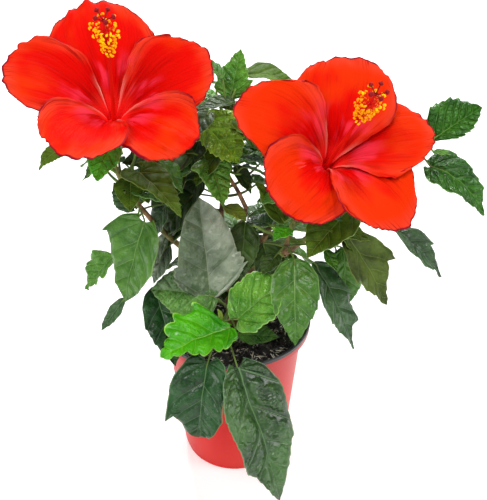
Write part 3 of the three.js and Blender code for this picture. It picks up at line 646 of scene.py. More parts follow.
shoots = {  # with a row for each leaf that has its own place
    "front_shoot": Card(
        stem=[(-2, 4, 150), (-5, -18, 157), (-9, -42, 163)], radii=(2.1, 1.3), young=(0.2, 0.9),
        leaves=[
            (0.3, (244, 44, 45), (112, 76, 83), "eared", "grey"),
            (0.4, (245, 50, 42), (193, 22, 50), "broad", "shiny", 10, 50, 1.1),
            (1, (290, 30, 21), (215, 10, 61), "frilled", "bright", 20, 15, 1.14),
            (0.9, (309, 38, 24), (10, 46, 48), "round", "crisp", 10, -25),
            (0.7, (255, -7, 51), (252, -50, 64), "curled", "bottle", 40, 0, 0.94, ((1, 0.6, 0.05, 0.2),)),
            (1, (289, -20, 40), (310, -56, 117), "long", "quilt", 15, 0, 0.98,
             ((1, 0.66, 0.025, 0.02), (-1, 0.56, 0.02, 0.02))),
            (0.2, (208, 32, 78), (298, -50, 64), "toothed", "bottle", 15, 0, 0.8),
            (0.5, (310, -50, 20), (350, 8, 34), "slim", "mid", 10, -20, 1.6),
            (0.95, (250, 55, 5), (160, 75, 12), "slim", "lime", 0, 0, 1.6),
        ],
    ),
    "left_shoot": Card(
        stem=[(-64, -8, 240), (-80, -12, 268), (-87, -14, 290)], radii=(2, 1.8), young=(0.1, 0.7),
        bloom="left_bloom",
        leaves=[
            (0.5, (312, 28, 30), (319, -17, 46), "heart", "olive", 20, 0, 1.12),
            (0.2, (290, -7, 26), (229, -59, 65), "winged", "mid", 15, 0, 1.3, ((1, 0.2, 0.02, 0.1),)),
            (0.15, (254, -54, 71), (185, -56, 37), "slim", "pine", 0, 60, 0.75),
            (0.1, (196, -54, 46), (202, -38, 35), "frilled", "fresh", 20, 0, 1.5),
            (0.8, (280, 41, 36), (250, -23, 30), "broad", "bright", 20),
            (0.9, (188, 10, 29), (200, 10, 31), "lobed", "olive", 75, 30, 0.7),
            (0.3, (73, -68, 18), (152, 46, 25), "broad", "pine", 0, 60),
        ],
        twigs=Card(count=3, facing=120, spread=70, reach=42, length=42),
        space=((-95, 5, 262), 68),
    ),
    "centre_shoot": Card(
        stem=[(-10, 15, 230), (-8, 25, 275), (-4, 35, 315)], radii=(2.1, 1), young=(0, 0.6),
        leaves=[
            (0.1, (287, 20, 14), (328, -10, 20), "broad", "lime", 20),
            (0.08, (315, -8, 27), (263, -45, 46), "toothed", "dark", 10, 0, 0.85),
            (0.4, (212, 40, 35), (193, 5, 54), "toothed", "dark", 15, 40, 0.9),
            (0.05, (189, -22, 47), (215, -50, 33), "slim", "grey", 15, 0, 1.3),
            (0.3, (203, 28, 36), (200, -40, 44), "toothed", "dark", 25, 15, 1.2),
            (0.15, (200, 19, 25), (205, -38, 42), "toothed", "dark", 25, 15, 1.2),
            (0.5, (237, 20, 21), (296, -31, 38), "shouldered", "crisp", 30, 0, 1.05,
             ((1, 0.15, 0.12, 0.03), (-1, 0.26, 0.05, 0.05))),
            (0.8, (212, 27, 27), (315, -16, 48), "leaning", "moss", 20, -30, 0.95),
            (0.8, (78, 49, 27), (66, 58, 37), "shouldered", "fresh", 0, 0, 1.1,
             ((1, 0.32, 0.14, 0.04), (-1, 0.4, 0.1, 0.06))),
            (1, (67, 26, 34), (355, 13, 45), "toothed", "olive", 50, 0, 1.2),
            (0.9, (108, 66, 31), (161, 44, 20), "broad", "mid", 10),
        ],
        twigs=Card(count=4, facing=60, spread=90, reach=40, length=46),
        space=((-5, 45, 285), 74),
    ),
    "right_shoot": Card(
        stem=[(40, -14, 212), (45, -12, 235), (51, -15, 256)], radii=(2.2, 1.8), young=(0.2, 0.9),
        bloom="right_bloom",
        leaves=[
            (0.1, (280, 9, 27), (271, -47, 65), "toothed", "mid", 20, 0, 0.88),
            (0.05, (318, 0, 30), (324, -52, 76), "toothed", "pine", 15, 0, 0.65,
             ((-1, 0.7, 0.06, 0.06), (1, 0.55, 0.03, 0.03))),
            (0.1, (5, -6, 46), (289, -70, 52), "toothed", "mid", 10),
            (0.15, (330, 5, 33), (306, -40, 18), "lobed", "fresh"),
            (0.3, (347, 3, 43), (324, -44, 64), "lobed", "khaki", 15, 0, 1.15,
             ((-1, 0.5, 0.12, 0.12), (1, 0.45, 0.05, 0.05))),
            (0.4, (8, -8, 84), (338, -34, 55), "lobed", "pine", 15, 0, 0.95, ((-1, 0.52, 0.08, 0.12),)),
            (0.45, (355, 15, 44), (222, -20, 52), "toothed", "olive", 15, 0, 1.25),
            (0.5, (358, 8, 48), (333, -20, 26), "toothed", "dark", 10),
            (0.5, (182, -30, 10), (145, 46, 38), "toothed", "olive"),
            (0.4, (256, 0, 10), (230, 11, 22), "lobed", "bright", 20, 0, 1,
             ((1, 0.4, 0.16, 0.1), (-1, 0.4, 0.16, 0.1))),
            (0.1, (234, -6, 14), (234, -17, 20), "broad", "dark", 10),
            (0.08, (170, 5, 18), (300, -60, 42), "toothed", "dark", 15),
        ],
        twigs=Card(count=2, facing=50, spread=50, reach=38, length=46),
        space=((75, 15, 235), 66),
    ),
    "far_shoot": Card(
        stem=[(124, 12, 268), (140, 10, 285), (150, 10, 295)], radii=(1.6, 0.9), young=(0.4, 0.9),
        leaves=[
            (1, (56, 33, 6), (18, 33, 43), "leaning", "leafy", 10, -35, 1.05),
            (0.6, (336, -40, 13), (335, -6, 58), "shouldered", "leafy", 60, -20, 0.95),
            (0.9, (300, -8, 7), (332, 4, 12), "broad", "fresh"),
        ],
    ),
    "back_left_shoot": Card(
        stem=[(-46, 58, 232), (-58, 72, 258), (-62, 84, 286)], radii=(2, 1), young=(0.1, 0.8),
        leaves=[],
        twigs=Card(count=7, facing=120, spread=130, reach=44, length=52),
        space=((-62, 68, 250), 84),
    ),
    "back_right_shoot": Card(
        stem=[(50, 66, 228), (64, 80, 256), (70, 88, 284)], radii=(2, 1), young=(0.1, 0.8),
        leaves=[],
        twigs=Card(count=7, facing=60, spread=130, reach=44, length=52),
        space=((68, 70, 248), 84),
    ),
    "back_low_shoot": Card(
        stem=[(-2, 12, 146), (2, 34, 158), (4, 54, 172)], radii=(2.3, 1.2), young=(0.1, 0.7),
        leaves=[],
        twigs=Card(count=5, facing=90, spread=110, reach=40, length=56),
        space=((4, 66, 180), 78),
    ),
}


def veinPhase(out, along, aside, pace, larger, smaller):
    # counts the side veins along a blade, in whole numbers at the veins
    foot = out * (blade.veinSlope + blade.veinBend * out)
    upper = larger(along - foot + aside, 0)
    lower = smaller(along / (foot + 0.004) - 1, 0)
    return upper * (pace + blade.quicker * upper) + blade.lowPace * lower


def leafFinish(name, tone):
    # veins, and the swellings between them, are worked out from where a point lies on its blade
    finish = Finish(name, tone.gloss)
    across, along, leaf, edge = finish.marks(*leafMarks)
    onLeaf = finish.join(across, along, leaf)
    cloud, lumps, specks = onLeaf.noise(3, 2), onLeaf.noise(tone.lumps, 2, 0.6), onLeaf.noise(55, 2)
    out = finish.maths("ABSOLUTE", across)
    aside = finish.maths("GREATER_THAN", across, 0) * blade.shift + 0.08 * (cloud - 0.5)
    phase = veinPhase(out, along, aside, tone.pace, finish.larger, finish.smaller)
    nearest = finish.maths("PINGPONG", phase, 0.5)
    rib = (out / (1.2 - along)).spread(blade.ribWidth, 0)
    side = nearest.spread(blade.veinWidth, 0) * out.spread(0.42, 0.05)
    vein = finish.larger(rib, 0.7 * side)
    swell = nearest.spread(0, 0.3) * out.spread(0, 0.05) * edge.spread(1, 0.8)
    blister = lumps.spread(0.42, 0.66) * swell * tone.blisters
    # random tone from the noises, with a little painted shade: lighter on the swellings between the veins and
    # darker in the hollows along them
    shade = (0.65 * cloud + 0.3 * lumps + 0.06 * swell + 0.25 * specks).spread(0.4, 0.84)
    body = shade.mix(tone.deep, tone.face)
    # painted sheen and painted highlights: one half of the blade goes over to a pale grey-green in cloudy
    # patches, and pale spots lie towards its foot, in place of the reflections on a glossy leaf
    if tone.half:
        glossSide = across.spread(-0.005, 0.015) * (0.3 + 0.7 * (cloud + 0.3 * lumps).spread(0.5, 0.85))
        glossSpots = 0.5 * lumps.spread(0.52, 0.68) * along.spread(0.5, 0.15)
        body = (tone.half * finish.larger(glossSide, glossSpots)).mix(body, paintedGloss)
    lines = finish.larger(vein * tone.veins, edge.spread(0.945, 1) * tone.rim)
    height = 0.5 * swell + blister + 0.15 * lumps + 0.04 * specks - 0.35 * vein
    return finish.cover(lines.mix(body, tone.vein), tone.rough + 0.2 * cloud, height, tone.relief, 0.003)


def bladeFrame(leaf, shares):
    # where the blade's rib runs, with the ways ahead, aside and up at each share of it
    heading, pitch, length = leaf.blade
    ahead = aim(heading, pitch - leaf.droop * shares)
    steps = (ahead[1:] + ahead[:-1]) / 2 * np.diff(shares)[:, None] * length
    rib = leaf.foot + np.concatenate([np.zeros((1, 3)), np.cumsum(steps, axis=0)])
    level = aim(heading - 90, 0)
    roll = math.radians(-leaf.roll)
    side = level * math.cos(roll) + np.cross(ahead, level) * math.sin(roll)
    return rib, ahead, side, np.cross(side, ahead)


def bladeRings(leaf, dice):
    # a blade's surface in its true outline, top and underside, as rings across it
    shape = Card(evenShape, **outlines[leaf.kind])
    rows, across = (blade.heroRows, blade.heroAcross) if leaf.hero else (blade.rows, blade.across)
    shares = np.linspace(0, 1, rows + 1)
    hand, down = handsAcross(across), shares[:, None]
    out = np.abs(hand)
    halves = []
    for edge in (shape.edge, shape.right or shape.edge):
        places, widths = np.array(edge).T / 100
        soft = sum(np.interp(shares + shift, places, widths) for shift in (-0.02, 0, 0.02)) / 3
        soft[0], soft[-1] = widths[0], widths[-1]
        halves.append(soft[:, None])
    width = np.where(hand < 0, *halves) * leaf.width
    lobe, push = 0, 0
    for side, at, reach, point in leaf.lobes:
        rise = np.interp(shares, [at - blade.lobeRise, at, at + blade.lobeFall], [0, 1, 0])[:, None]
        rise = rise * (np.sign(hand) == side) * out ** 3
        lobe, push = lobe + reach * rise, push + point * rise
    count = shape.teeth * dice.uniform(*blade.denser)
    phase = dice.uniform(0, 1, 2)
    beat = down * count + np.where(hand < 0, *phase)
    jag = dice.uniform(*blade.uneven, (2, 20))  # no two teeth are alike
    jag = np.where(hand < 0, *jag[:, beat.astype(int)])
    beat = beat % 1
    if shape.rounded:
        tooth = np.sin(np.pi * beat) ** 0.7
    else:
        tooth = np.where(beat < blade.toothTop, beat / blade.toothTop, (1 - beat) / (1 - blade.toothTop))
    tooth = tooth * jag * shape.tooth * smooth(down, shape.start, shape.start + 0.15)
    tooth = tooth * smooth(down, shape.until + 0.1, shape.until - 0.1) * (1 - 0.5 * smooth(down, 0.8, 1))
    margin = out ** 5
    x = np.sign(hand) * (out * width + (tooth - 0.4 * shape.tooth) * margin + lobe)
    y = down + 0.7 * tooth * margin + push
    y = y - shape.heart * out ** 1.5 * np.exp(-down / 0.1)
    broad, small = Ripples(dice, 0.4), Ripples(dice, 0.12, 12)
    edgeWave = np.sin(2 * np.pi * (down * dice.uniform(*blade.waves) + phase[0] + 0.5 * (hand > 0)))
    pace = leafTones[leaf.tone].pace
    between = veinPhase(np.abs(x), y, blade.shift * (x > 0), pace, np.maximum, np.minimum) % 1
    swell = np.sin(np.pi * between) ** 0.7 * smooth(np.abs(x), 0, 0.06)
    height = blade.pillow * swell * (1 + 0.6 * small(x, y)) + 0.003 * small(y, x)
    height = (1 - smooth(out, 0.82, 1)) * height
    height = height + shape.wave * edgeWave * out ** 3 * smooth(down, 0, 0.3) + 0.014 * broad(y, x)
    height = height + blade.fold * (np.sqrt(x ** 2 + 0.02 ** 2) - 0.02)
    rib, ahead, aside, up = (values[:, None] for values in bladeFrame(leaf, shares))
    length = leaf.blade[2]
    middle = rib + aside * (x * length)[..., None] + ahead * ((y - down) * length)[..., None]
    middle = middle + up * (height * length)[..., None]
    thick = up * blade.thickness / 2
    marks = zip(leafMarks, (x, y, np.full(x.shape, dice.uniform(0, 9)), out + 0 * x))
    return folded(middle + thick, middle - thick), {name: folded(values, values) for name, values in marks}


# Blooms

petalMarks = ("along", "across", "petal", "margin")
# Each petal has its turn and length, then its width, stretch and further turn against a plain petal, how far
# its corners fall back, which way its end slants, and which of its edges lie over the next petals.
blooms = {
    "left_bloom": Card(
        base=(-82.5, -27, 330), heading=290, rise=62.5, slopes=(15, 89), opening=0.73, lean=(-9, 7), dealt=0,
        petals=(28, 106, 179, 255, 325), lengths=(80, 83, 85, 83, 80), widths=(1.02, 1.1, 0.87, 0.88, 0.86),
        stretch=(1.04, 1.04, 1, 1, 1.04), turned=(0, 2, 0, -7, -4), bows=(0.2, 0.12, 0.1, 0.08, 0.14),
        skews=(-0.02, 0.01, 0.02, 0.02, -0.05), sides=((1, 0), (0, -1), (-1, 0), (0, 1), (1, 0)),
    ),
    "right_bloom": Card(
        base=(65.5, -37, 299.5), heading=288, rise=52.5, slopes=(10, 104), opening=0.92, lean=(7, 9),
        dealt=2, petals=(14, 86, 164, 238, 311), lengths=(81, 82, 89, 83, 82),
        widths=(1, 1.18, 0.96, 0.98, 0.96), stretch=(1.03, 1.02, 1.06, 1, 1.08), turned=(1, 3, 6, -5, 0),
        bows=(0.2, 0.12, 0.3, 0.1, 0.2), skews=(0.07, -0.04, 0.02, 0.02, -0.08),
        sides=((-1, 0), (-1, 0), (-1, 0), (-1.3, 0.3), (-1, 0)),
    ),
}
petal = Card(
    rootRadius=4.5, thickness=0.5, tilt=4.5, rootTilt=0.25, rows=80, across=48, fine=80, frill=0.014,
    notch=0.6, notchDepth=0.03, sway=1.4, swayWave=1.5, pleat=0.55, pleatWave=0.1, ruffle=1.6,
    ruffleWave=0.36, ragged=0.008, raggedWave=0.11, room=26, roomAt=0.55,
    outline=[(0, 0.038), (0.15, 0.09), (0.35, 0.21), (0.55, 0.36), (0.72, 0.43), (0.86, 0.42), (1, 0.35)],
    # glow, below, is a painted sheen: the pink highlight near the claws
    heart=(198, 1, 1), red=(202, 7, 1), orange=(208, 41, 2), rosy=(212, 56, 34), deep=(138, 2, 4),
    # throat is painted light: brighter than the petals' red, to lift the shade deep in the funnel
    throat=(255, 34, 34), rim=(108, 4, 34), streak=(250, 176, 160), back=(206, 50, 24), glow=(228, 50, 72),
)
column = Card(
    foot=0.45, length=87, bend=1.5, points=5, radii=(1.6, 1.1, 0.9), around=14, steps=60,
    colour=(206, 12, 4), pale=(216, 26, 12),
)
anthers = Card(
    count=110, start=0.68, end=0.91, rise=30, reach=(4, 11.5), radius=0.15, sag=0.4, head=1.2, golden=137.5,
    astray=(-20, 20), tilted=(-15, 15), shorter=(0.72, 1), sizes=(0.85, 1.1), bend=0.35, girth=0.62,
    girths=[0.15, 0.8, 1, 1, 0.8, 0.15], yellow=(255, 196, 4), amber=(240, 146, 2),
)
styles = Card(
    count=5, start=0.98, rise=42, reach=9.5, radius=0.4, sag=-0.3, head=1.7, flat=0.9,
    colour=(104, 4, 8), lit=(150, 14, 20),
)
calyx = Card(
    depth=13, shoulder=10, shoulderRadius=6.2, belly=2, bellyRadius=7.2, mouth=3, mouthRadius=9.6, teeth=5,
    tooth=6, flare=0.6, wall=0.8, pedicel=14, pedicelRadius=1.7, bracts=7, bract=12,
    green=(112, 146, 58), pale=(160, 186, 92), red=(150, 70, 40),
)


def placed(points, bloom):
    # points about the bloom's own axis, moved to where the bloom is
    way = Vector(aim(bloom.heading, bloom.rise))
    turn = np.array(Vector((0, 0, 1)).rotation_difference(way).to_matrix())
    return points @ turn.T + bloom.base


def petalRib(bloom, length, along):
    # how far a petal's rib stands out from the axis and up it, and its slope, at a share of its length
    def slope(share):
        return np.radians(lerp(*bloom.slopes, share ** bloom.opening))
    slopes = slope((np.arange(petal.fine) + 0.5) / petal.fine)
    out, rise = (np.concatenate([[0], np.cumsum(steps)]) * length / petal.fine
                 for steps in (np.sin(slopes), np.cos(slopes)))
    shares = np.linspace(0, 1, petal.fine + 1)
    return np.interp(along, shares, petal.rootRadius + out), np.interp(along, shares, rise), slope(along)


def petalRings(bloom, index, dice):
    length = bloom.lengths[index] * bloom.stretch[index]
    shares, hand = np.linspace(0, 1, petal.rows + 1)[:, None], handsAcross(petal.across)
    edge, tip = np.abs(hand), shares ** 8
    places, widths = np.array(petal.outline).T
    width = sum(np.interp(shares + shift, places, widths) for shift in (-0.05, -0.02, 0.02, 0.05)) / 4
    ragged = Ripples(np.random.default_rng(index), petal.raggedWave, 12)
    curl, sway = Ripples(dice, petal.ruffleWave, 9), Ripples(dice, petal.swayWave)
    crease, notch = Ripples(dice, petal.pleatWave, 12), Ripples(dice, petal.notch)
    margin = smooth(np.maximum(edge, shares ** 3), 0.6, 1) * smooth(shares, 0.2, 0.7)
    along = shares - (bloom.bows[index] * hand ** 2 - bloom.skews[index] * hand) * shares ** 4
    along = along + petal.frill * (np.clip(notch(hand * 1.1, shares * 0.2), -1, 1) - 1) * tip
    along = along + petal.ragged * ragged(hand, 0 * shares) * tip
    side = np.sign(hand)
    width = width * bloom.widths[index] * (1 + petal.notchDepth * notch(shares * 1.6, side * 2) * edge ** 4)
    width = width * (1 + 2 * petal.ragged * ragged(shares, side) * edge ** 4)
    out, rise, slope = petalRib(bloom, length, np.clip(along, 0, 1))
    pleat = petal.pleat * crease(hand * 0.8, shares * 0.06) * smooth(shares, 0.1, 0.5)
    bend = petal.sway * sway(hand, shares * 1.5) * shares
    ruffle = petal.ruffle * curl(hand * 1.2 + 3, shares * 1.1) * margin
    leaning, cupping = bloom.sides[index]
    tilt = (leaning * hand + cupping * hand ** 2) * petal.tilt * lerp(petal.rootTilt, 1, along)
    angle = np.radians(bloom.petals[index] + bloom.turned[index]) + hand * (width * length / out)
    layers = []
    for half in (petal.thickness / 2, -petal.thickness / 2):
        lift = tilt + half + pleat + bend + ruffle
        layers.append(polar(out - lift * np.cos(slope), angle, rise + lift * np.sin(slope)))
    margin = np.minimum((1 - edge) * width, 1 - shares) * length  # how far the petal's edge is
    marks = zip(("along", "across", "margin"), (along, hand + 0 * shares, margin))
    return placed(folded(*layers), bloom), {name: folded(values, values) for name, values in marks}


def petalFinish(name, ground):
    # streaks fan out from the throat over a ground that goes from red to orange, and the rim is dark
    finish = Finish(name, 0.02)
    along, across, number, margin = finish.marks(*petalMarks)
    edge = finish.maths("ABSOLUTE", across)
    cloud = finish.place().noise(30)
    bent = across + 0.16 * (cloud - 0.5)
    streak = finish.join(bent * 7 + number * 7, along * 1.1, number).noise(1.6, 3, 0.6).spread(0.44, 0.66)
    veins = finish.join(bent * 24 + number * 5, along * 1.6, number).noise(1.5, 2, 0.6).spread(0.5, 0.7)
    patches = finish.join(across * 1.6 + number * 9, along * 2.2, number).noise(1.3, 2)
    claw = edge.spread(0.76, 1) * along.spread(0.04, 0.14) * along.spread(0.42, 0.22)
    layers = [  # from the ground up
        ((0.9 * along + 0.2 * edge + 1.1 * patches + 0.12 * number).spread(1.22, 1.66), ground),
        (0.85 * margin.spread(13, 2) * (patches + 0.4 * cloud).spread(0.48, 0.8), "rosy"),
        # painted sheen: a pale pink patch a third of the way out, in place of the satin highlight near the
        # claws
        (0.75 * along.spread(0.2, 0.34) * along.spread(0.6, 0.4) * patches.spread(0.48, 0.62), "glow"),
        (0.75 * streak * along.spread(0.64, 0.18) * along.spread(0.04, 0.24), "deep"),
        (0.6 * veins * along.spread(1.1, 0.3) * patches.spread(0.62, 0.4), "deep"),
        (0.85 * veins * margin.spread(12, 2) * cloud.spread(0.42, 0.58), "deep"),
        # painted light: the throat is laid over in a colour brighter than the petals, to lift the shade deep
        # in the funnel
        (0.9 * along.spread(0.3, 0.06), "throat"),
        (claw * (0.3 + 0.7 * veins), "streak"),
        (0.9 * margin.spread(1.9, 0.7) * along.spread(0.55, 0.8) * cloud.spread(0.26, 0.46), "rim"),
    ]
    face = along.spread(0.2, 0.62).mix(petal.heart, petal.red)
    for share, colour in layers:
        face = share.mix(face, petal[colour])
    return finish.cover(face, 0.42 + 0.15 * cloud, streak + 0.6 * veins, 0.3, 0.001)


def makeCorolla(name, bloom, finishes, seed):
    dice = np.random.default_rng(seed)
    flower = Bundle(*petalMarks)
    for index in range(len(bloom.petals)):
        rings, marks = petalRings(bloom, index, dice)
        slots = np.repeat([0, 1], rings.shape[1] // 2)
        flower.add(rings, slots, petal=index / 4 + bloom.dealt, **marks)
    out = petal.rootRadius + 0.4
    throat = [(0.05, -2), (out - 0.6, -2), (out, -1.4), (out, -0.4), (out - 0.5, 0), (0.05, 0)]
    flower.add(placed(turnedRings(throat, 24), bloom), margin=20)
    flower.piece(camel(name) + "Petals", finishes, "petal", name + "_corolla", crease=60)


def columnFinish():
    finish = Finish("columnFlesh", 0.15)
    climb, = finish.marks("climb")
    colour = climb.spread(0.35, 0.75).mix(column.pale, column.colour)
    return finish.cover(colour, 0.4 + 0.2 * finish.place().noise(200))


def pollenFinish():
    finish = Finish("pollen", 0.1)
    where = finish.place()
    grain, tint = where.noise(500), where.noise(120, 2)
    colour = tint.spread(0.35, 0.65).mix(anthers.amber, anthers.yellow)
    return finish.cover(colour, 0.7 + 0.2 * grain, grain, 0.6, 0.0006)


def stigmaFinish():
    finish = Finish("stigmaVelvet", 0.2)
    grain = finish.place().noise(1500, 2)
    return finish.cover(grain.mix(styles.colour, styles.lit), 0.6 + 0.3 * grain, grain, 0.6, 0.0004)


def thread(root, way, reach, radius, sag):
    tip = root + way * reach
    middle = (root + tip) / 2 - vector(0, 0, sag)
    return tubeRings([root, middle, tip], [radius * 1.3, radius, radius], 5, 6), tip


def makeColumn(name, bloom, finishes, seed):
    dice = np.random.default_rng(seed)
    shares = np.linspace(0, 1, column.points)
    lean = np.outer(bloom.lean, shares ** column.bend)
    curve = np.stack([*lean, lerp(column.foot, column.length, shares)], axis=-1)
    spike = Bundle("climb")

    def add(rings, slot, climb=0):
        spike.add(placed(rings, bloom), slot, climb=climb)
    stem = tubeRings(curve, column.radii, column.around, column.steps)
    add(stem, 0, np.linspace(0, 1, column.steps + 1)[:, None])
    for number in range(anthers.count):
        share = (number / (anthers.count - 1)) ** 0.8
        root = curvePoint(curve, lerp(anthers.start, anthers.end, share))
        heading = number * anthers.golden + dice.uniform(*anthers.astray)
        way = aim(heading, anthers.rise + dice.uniform(*anthers.tilted))
        reach = lerp(*anthers.reach, share) * dice.uniform(*anthers.shorter)
        rings, tip = thread(root, way, reach, anthers.radius, anthers.sag)
        add(rings, 0, 0.9)
        across = unit(np.cross(way, dice.uniform(-1, 1, 3))) * anthers.head * dice.uniform(*anthers.sizes)
        ends = tip - anthers.bend * way
        girths = anthers.head * anthers.girth * np.array(anthers.girths)
        add(tubeRings([ends - across, tip + 0.3 * way, ends + across], girths, 7, 7), 1)
    for number in range(styles.count):
        root = curvePoint(curve, styles.start)
        way = aim(number * 360 / styles.count, styles.rise)
        rings, tip = thread(root, way, styles.reach - styles.head, styles.radius, styles.sag)
        add(rings, 2)
        ball = np.sin(np.linspace(0.08, np.pi - 0.08, 8)) * styles.head
        ends = way * styles.head * styles.flat
        add(tubeRings([tip - ends, tip, tip + ends], ball, 12, 10), 2)
    spike.piece(camel(name) + "Column", finishes, "pollen", name + "_column")


def calyxFinish():
    finish = Finish("calyxGreen")
    finish.set("Sheen Weight", 0.2)
    climb, = finish.marks("climb")
    where = finish.place()
    patch = where.noise(90)
    green = patch.spread(0.35, 0.7).mix(calyx.green, calyx.pale)
    colour = climb.spread(0.75, 1.1).mix(green, calyx.red)
    return finish.cover(colour, 0.5 + 0.25 * patch, where.noise(900, 2), 0.3, 0.0005)


def makeCalyx(name, bloom, finish):
    angle = np.linspace(0, 2 * np.pi, 20 * calyx.teeth, endpoint=False)
    peak = (0.5 + 0.5 * np.cos(calyx.teeth * angle)) ** 1.3
    depth, foot, thin = calyx.depth, -calyx.depth - calyx.pedicel, calyx.pedicelRadius
    belly, mouth = calyx.bellyRadius, calyx.mouthRadius
    stack = [  # radius, height and share of the teeth
        (thin, foot, 0), (thin, -depth, 0), (lerp(thin, calyx.shoulderRadius, 0.7), -depth + 0.7, 0),
        (calyx.shoulderRadius, -calyx.shoulder, 0), (belly, -calyx.belly, 0),
        (lerp(belly, mouth, 0.5), 0.5, 0.2), (mouth, calyx.mouth, 1),
        (mouth - calyx.wall, calyx.mouth, 1), (belly - calyx.wall, -calyx.belly, 0),
    ]
    rings, climbs = [], []
    for radius, height, share in stack:
        tooth = calyx.tooth * peak * share
        ridge = 0.12 * np.cos(10 * angle) * (height > -depth)
        rings.append(polar(radius + calyx.flare * tooth + ridge, angle, height + tooth))
        climbs.append((height + tooth - foot) / (calyx.mouth + calyx.tooth - foot))
    cup = Bundle("climb")
    cup.add(placed(np.array(rings), bloom), climb=np.array(climbs))
    for number in range(calyx.bracts):  # the ring of slim green bracts under the cup
        out = aim(360 * number / calyx.bracts, 0)
        start = vector(0, 0, 0.4 - depth) + 1.5 * out
        path = [start, start + 4.5 * out + vector(0, 0, 3), start + 6.2 * out + vector(0, 0, calyx.bract)]
        cup.add(placed(tubeRings(path, [0.9, 0.8, 0.1], 6, 8), bloom), climb=0.3)
    cup.piece(camel(name) + "Calyx", [finish], "calyx", name + "_calyx")


# Shoots: twigs and leaves that grow by the plant's rule

def seeded(state):
    def draw(limits):
        nonlocal state
        state = (state * 1664525 + 1013904223) % 4294967296
        return lerp(*limits, state / 4294967296)
    return draw


def seat(leaf, curve):
    # sets a leaf's root on a curve and its foot at the end of its stalk
    heading, rise, reach = leaf.stalk
    root = curvePoint(curve, leaf.at)
    return Card(leaf, root=root, foot=root + aim(heading, rise) * reach)


def bladeMarks(leaf):
    # the middle and the end of a leaf's blade
    heading, pitch, length = leaf.blade
    middle = leaf.foot + aim(heading, pitch - leaf.droop / 4) * length / 2
    return [middle, middle + aim(heading, pitch - leaf.droop * 3 / 4) * length / 2]


def stemPath(shoot):
    path = [*shoot.stem]
    if "bloom" in shoot:
        bloom = blooms[shoot.bloom]
        below = -calyx.depth - calyx.pedicel
        path.append(bloom.base + aim(bloom.heading, bloom.rise) * below)  # the foot of its flower stalk
    return np.array(path, float)


taken = []  # room that is taken: balls round the petals and the leaves that are placed


def take(leaves):
    taken.extend((mark, 0) for leaf in leaves for mark in bladeMarks(leaf))


def isClear(point, room):
    return all(np.linalg.norm(point - centre) > radius + room for centre, radius in taken)


# kept clear for open background, a bare fork or a whole leaf: x, height and radius on the upright plane
openSky = [
    (-139, 221, 51), (-121, 124, 52), (-73, 289, 10), (17, 347, 7), (17, 291, 7), (16, 270, 6),
    (5, 229, 7), (179, 187, 41), (143, 124, 36), (-62, 195, 6), (-12, 269, 4), (-96, 274, 8),
    (-86, 274, 6), (-50, 277, 5), (5, 262, 5), (47, 210, 8), (0, 319, 9), (3, 305, 9),
]


def inSky(point):
    camera = vector(*photoView.place)
    seen = camera + (point - camera) * camera[1] / (camera[1] - point[1])
    return any(math.hypot(seen[0] - x, seen[2] - z) < radius for x, z, radius in openSky)


def grow(shoot, rule, draw, room, keepsOpen):
    # twigs with their leaves, within a shoot's space and clear of what is placed
    centre, radius = vector(*shoot.space[0]), shoot.space[1]
    for number in range(rule.count):
        root = curvePoint(shoot.curve, lerp(twig.firstRoot, 1, (number + 0.5) / rule.count))
        heading = rule.facing + rule.spread * (2 * ((number * twig.golden + twig.offset) % 1) - 1)
        rise = draw(twig.rise)
        span = rule.reach * draw(twig.span)
        middle = root + aim(heading, rise) * span / 2
        path = [root, middle, middle + aim(heading, rise + twig.bend) * span / 2]
        leaves = []
        for place in range(twig.leaves):
            last = place == twig.leaves - 1
            hand = 1 if place % 2 else -1
            turn = heading + (0 if last else hand * draw(ruled.turn)) + draw(ruled.sway)
            size = rule.length * draw(ruled.size)
            leaf = seat(row(
                at=1 if last else (place + 1) / twig.leaves,
                stalk=(turn, draw(ruled.stalkRise), size * ruled.stalkShare),
                blade=(turn, draw(ruled.pitch), size),
                width=draw(ruled.width), droop=draw(ruled.droop), roll=draw(ruled.roll),
                kind="plain", tone=grownTones[(3 * number + place) % len(grownTones)], hero=False), path)
            marks = bladeMarks(leaf)
            if (all(np.linalg.norm(mark - centre) < radius for mark in marks)
                    and all(isClear(mark, room) and not (keepsOpen and inSky(mark)) for mark in marks)):
                leaves.append(leaf)
                take([leaf])
        if leaves:
            shoot.grown.append(Card(path=path, leaves=leaves))


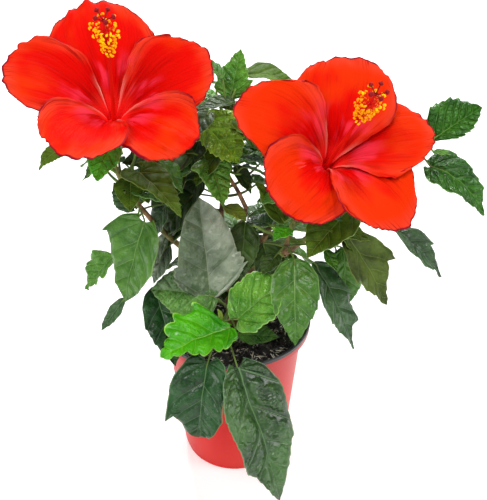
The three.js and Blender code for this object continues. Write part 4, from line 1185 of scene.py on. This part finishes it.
def plantShoots():
    for bloom in blooms.values():
        for turn, length in zip(bloom.petals, bloom.lengths):
            out, rise, _ = petalRib(bloom, length, petal.roomAt)
            taken.append((placed(aim(turn, 0) * out + vector(0, 0, rise), bloom), petal.room))
    for shoot in shoots.values():
        curve = stemPath(shoot)
        shoot.update(curve=curve, placed=[seat(row(*leaf), curve) for leaf in shoot.leaves], grown=[])
        take(shoot.placed)
    for number, shoot in enumerate(shoots.values()):
        if "twigs" in shoot:
            grow(shoot, shoot.twigs, seeded(number + 1), twig.room, False)
        for spray in shoot.grown:
            spray["leaves"] = [leaf for leaf in spray.leaves if not any(map(inSky, bladeMarks(leaf)))]
    for name, leaves in tucked.items():
        extra = [seat(row(*where, "toothed", tone, 15, 0, width, hero=False), shoots[name].curve)
                 for where, tone, width in leaves]
        shoots[name].placed.extend(extra)
        take(extra)
    for number, shoot in enumerate(shoots.values()):  # the same rule carried on to smaller sprays
        if "twigs" in shoot:
            rule = Card(shoot.twigs, count=finer.count, spread=180, reach=shoot.twigs.reach * finer.reach,
                        length=shoot.twigs.length * finer.length)
            for again in range(finer.passes):
                grow(shoot, rule, seeded(finer.seed + 10 * number + again), finer.room, True)


def stalkPath(leaf):
    heading, pitch, _ = leaf.blade
    middle = (leaf.root + leaf.foot) / 2 + vector(0, 0, stalk.arch * leaf.stalk[2])
    return [leaf.root, middle, leaf.foot, leaf.foot + aim(heading, pitch) * stalk.intoBlade]


def makeShoot(name, shoot, leafFinishes, woodFinish, seed):
    dice = np.random.default_rng(seed)
    wood, blades = Bundle("young"), Bundle(*leafMarks)
    wood.add(tubeRings(shoot.curve, shoot.radii, 12, 40), young=np.linspace(*shoot.young, 41)[:, None])
    leaves = list(shoot.placed)
    for spray in shoot.grown:
        wood.add(tubeRings(spray.path, *twig.tube), young=0.8)
        leaves += spray.leaves
    for leaf in leaves:
        wood.add(tubeRings(stalkPath(leaf), *stalk.tube), young=1)
        rings, marks = bladeRings(leaf, dice)
        # the top of the blade takes its leaf's tone, and the underside is the last finish
        slots = np.repeat([toneNames.index(leaf.tone), len(toneNames)], rings.shape[1] // 2)
        blades.add(rings, slots, **marks)
    wood.piece(camel(name) + "Twigs", [woodFinish], "bark", name)
    blades.piece(camel(name) + "Leaves", leafFinishes, "leaf", name, crease=75)
    return len(leaves)


makeCamera()
makeStudio()
print("studio ready")
makePot()
makeSoil()
woodFinish = barkFinish()
makeWood(woodFinish)
petalFinishes = [petalFinish("petalFace", "orange"), petalFinish("petalBack", "back")]
columnFinishes = [columnFinish(), pollenFinish(), stigmaFinish()]
calyxSkin = calyxFinish()
for number, (name, bloom) in enumerate(blooms.items()):
    makeCorolla(name, bloom, petalFinishes, 20 + number)
    makeColumn(name, bloom, columnFinishes, 30 + number)
    makeCalyx(name, bloom, calyxSkin)
print("blooms ready")
plantShoots()
leafFinishes = [leafFinish(name + "Leaf", tone) for name, tone in leafTones.items()]
leafFinishes.append(leafFinish("leafUnderside", undersides))
total = sum(makeShoot(name, shoot, leafFinishes, woodFinish, 50 + number)
            for number, (name, shoot) in enumerate(shoots.items()))
print("leaves ready:", total)
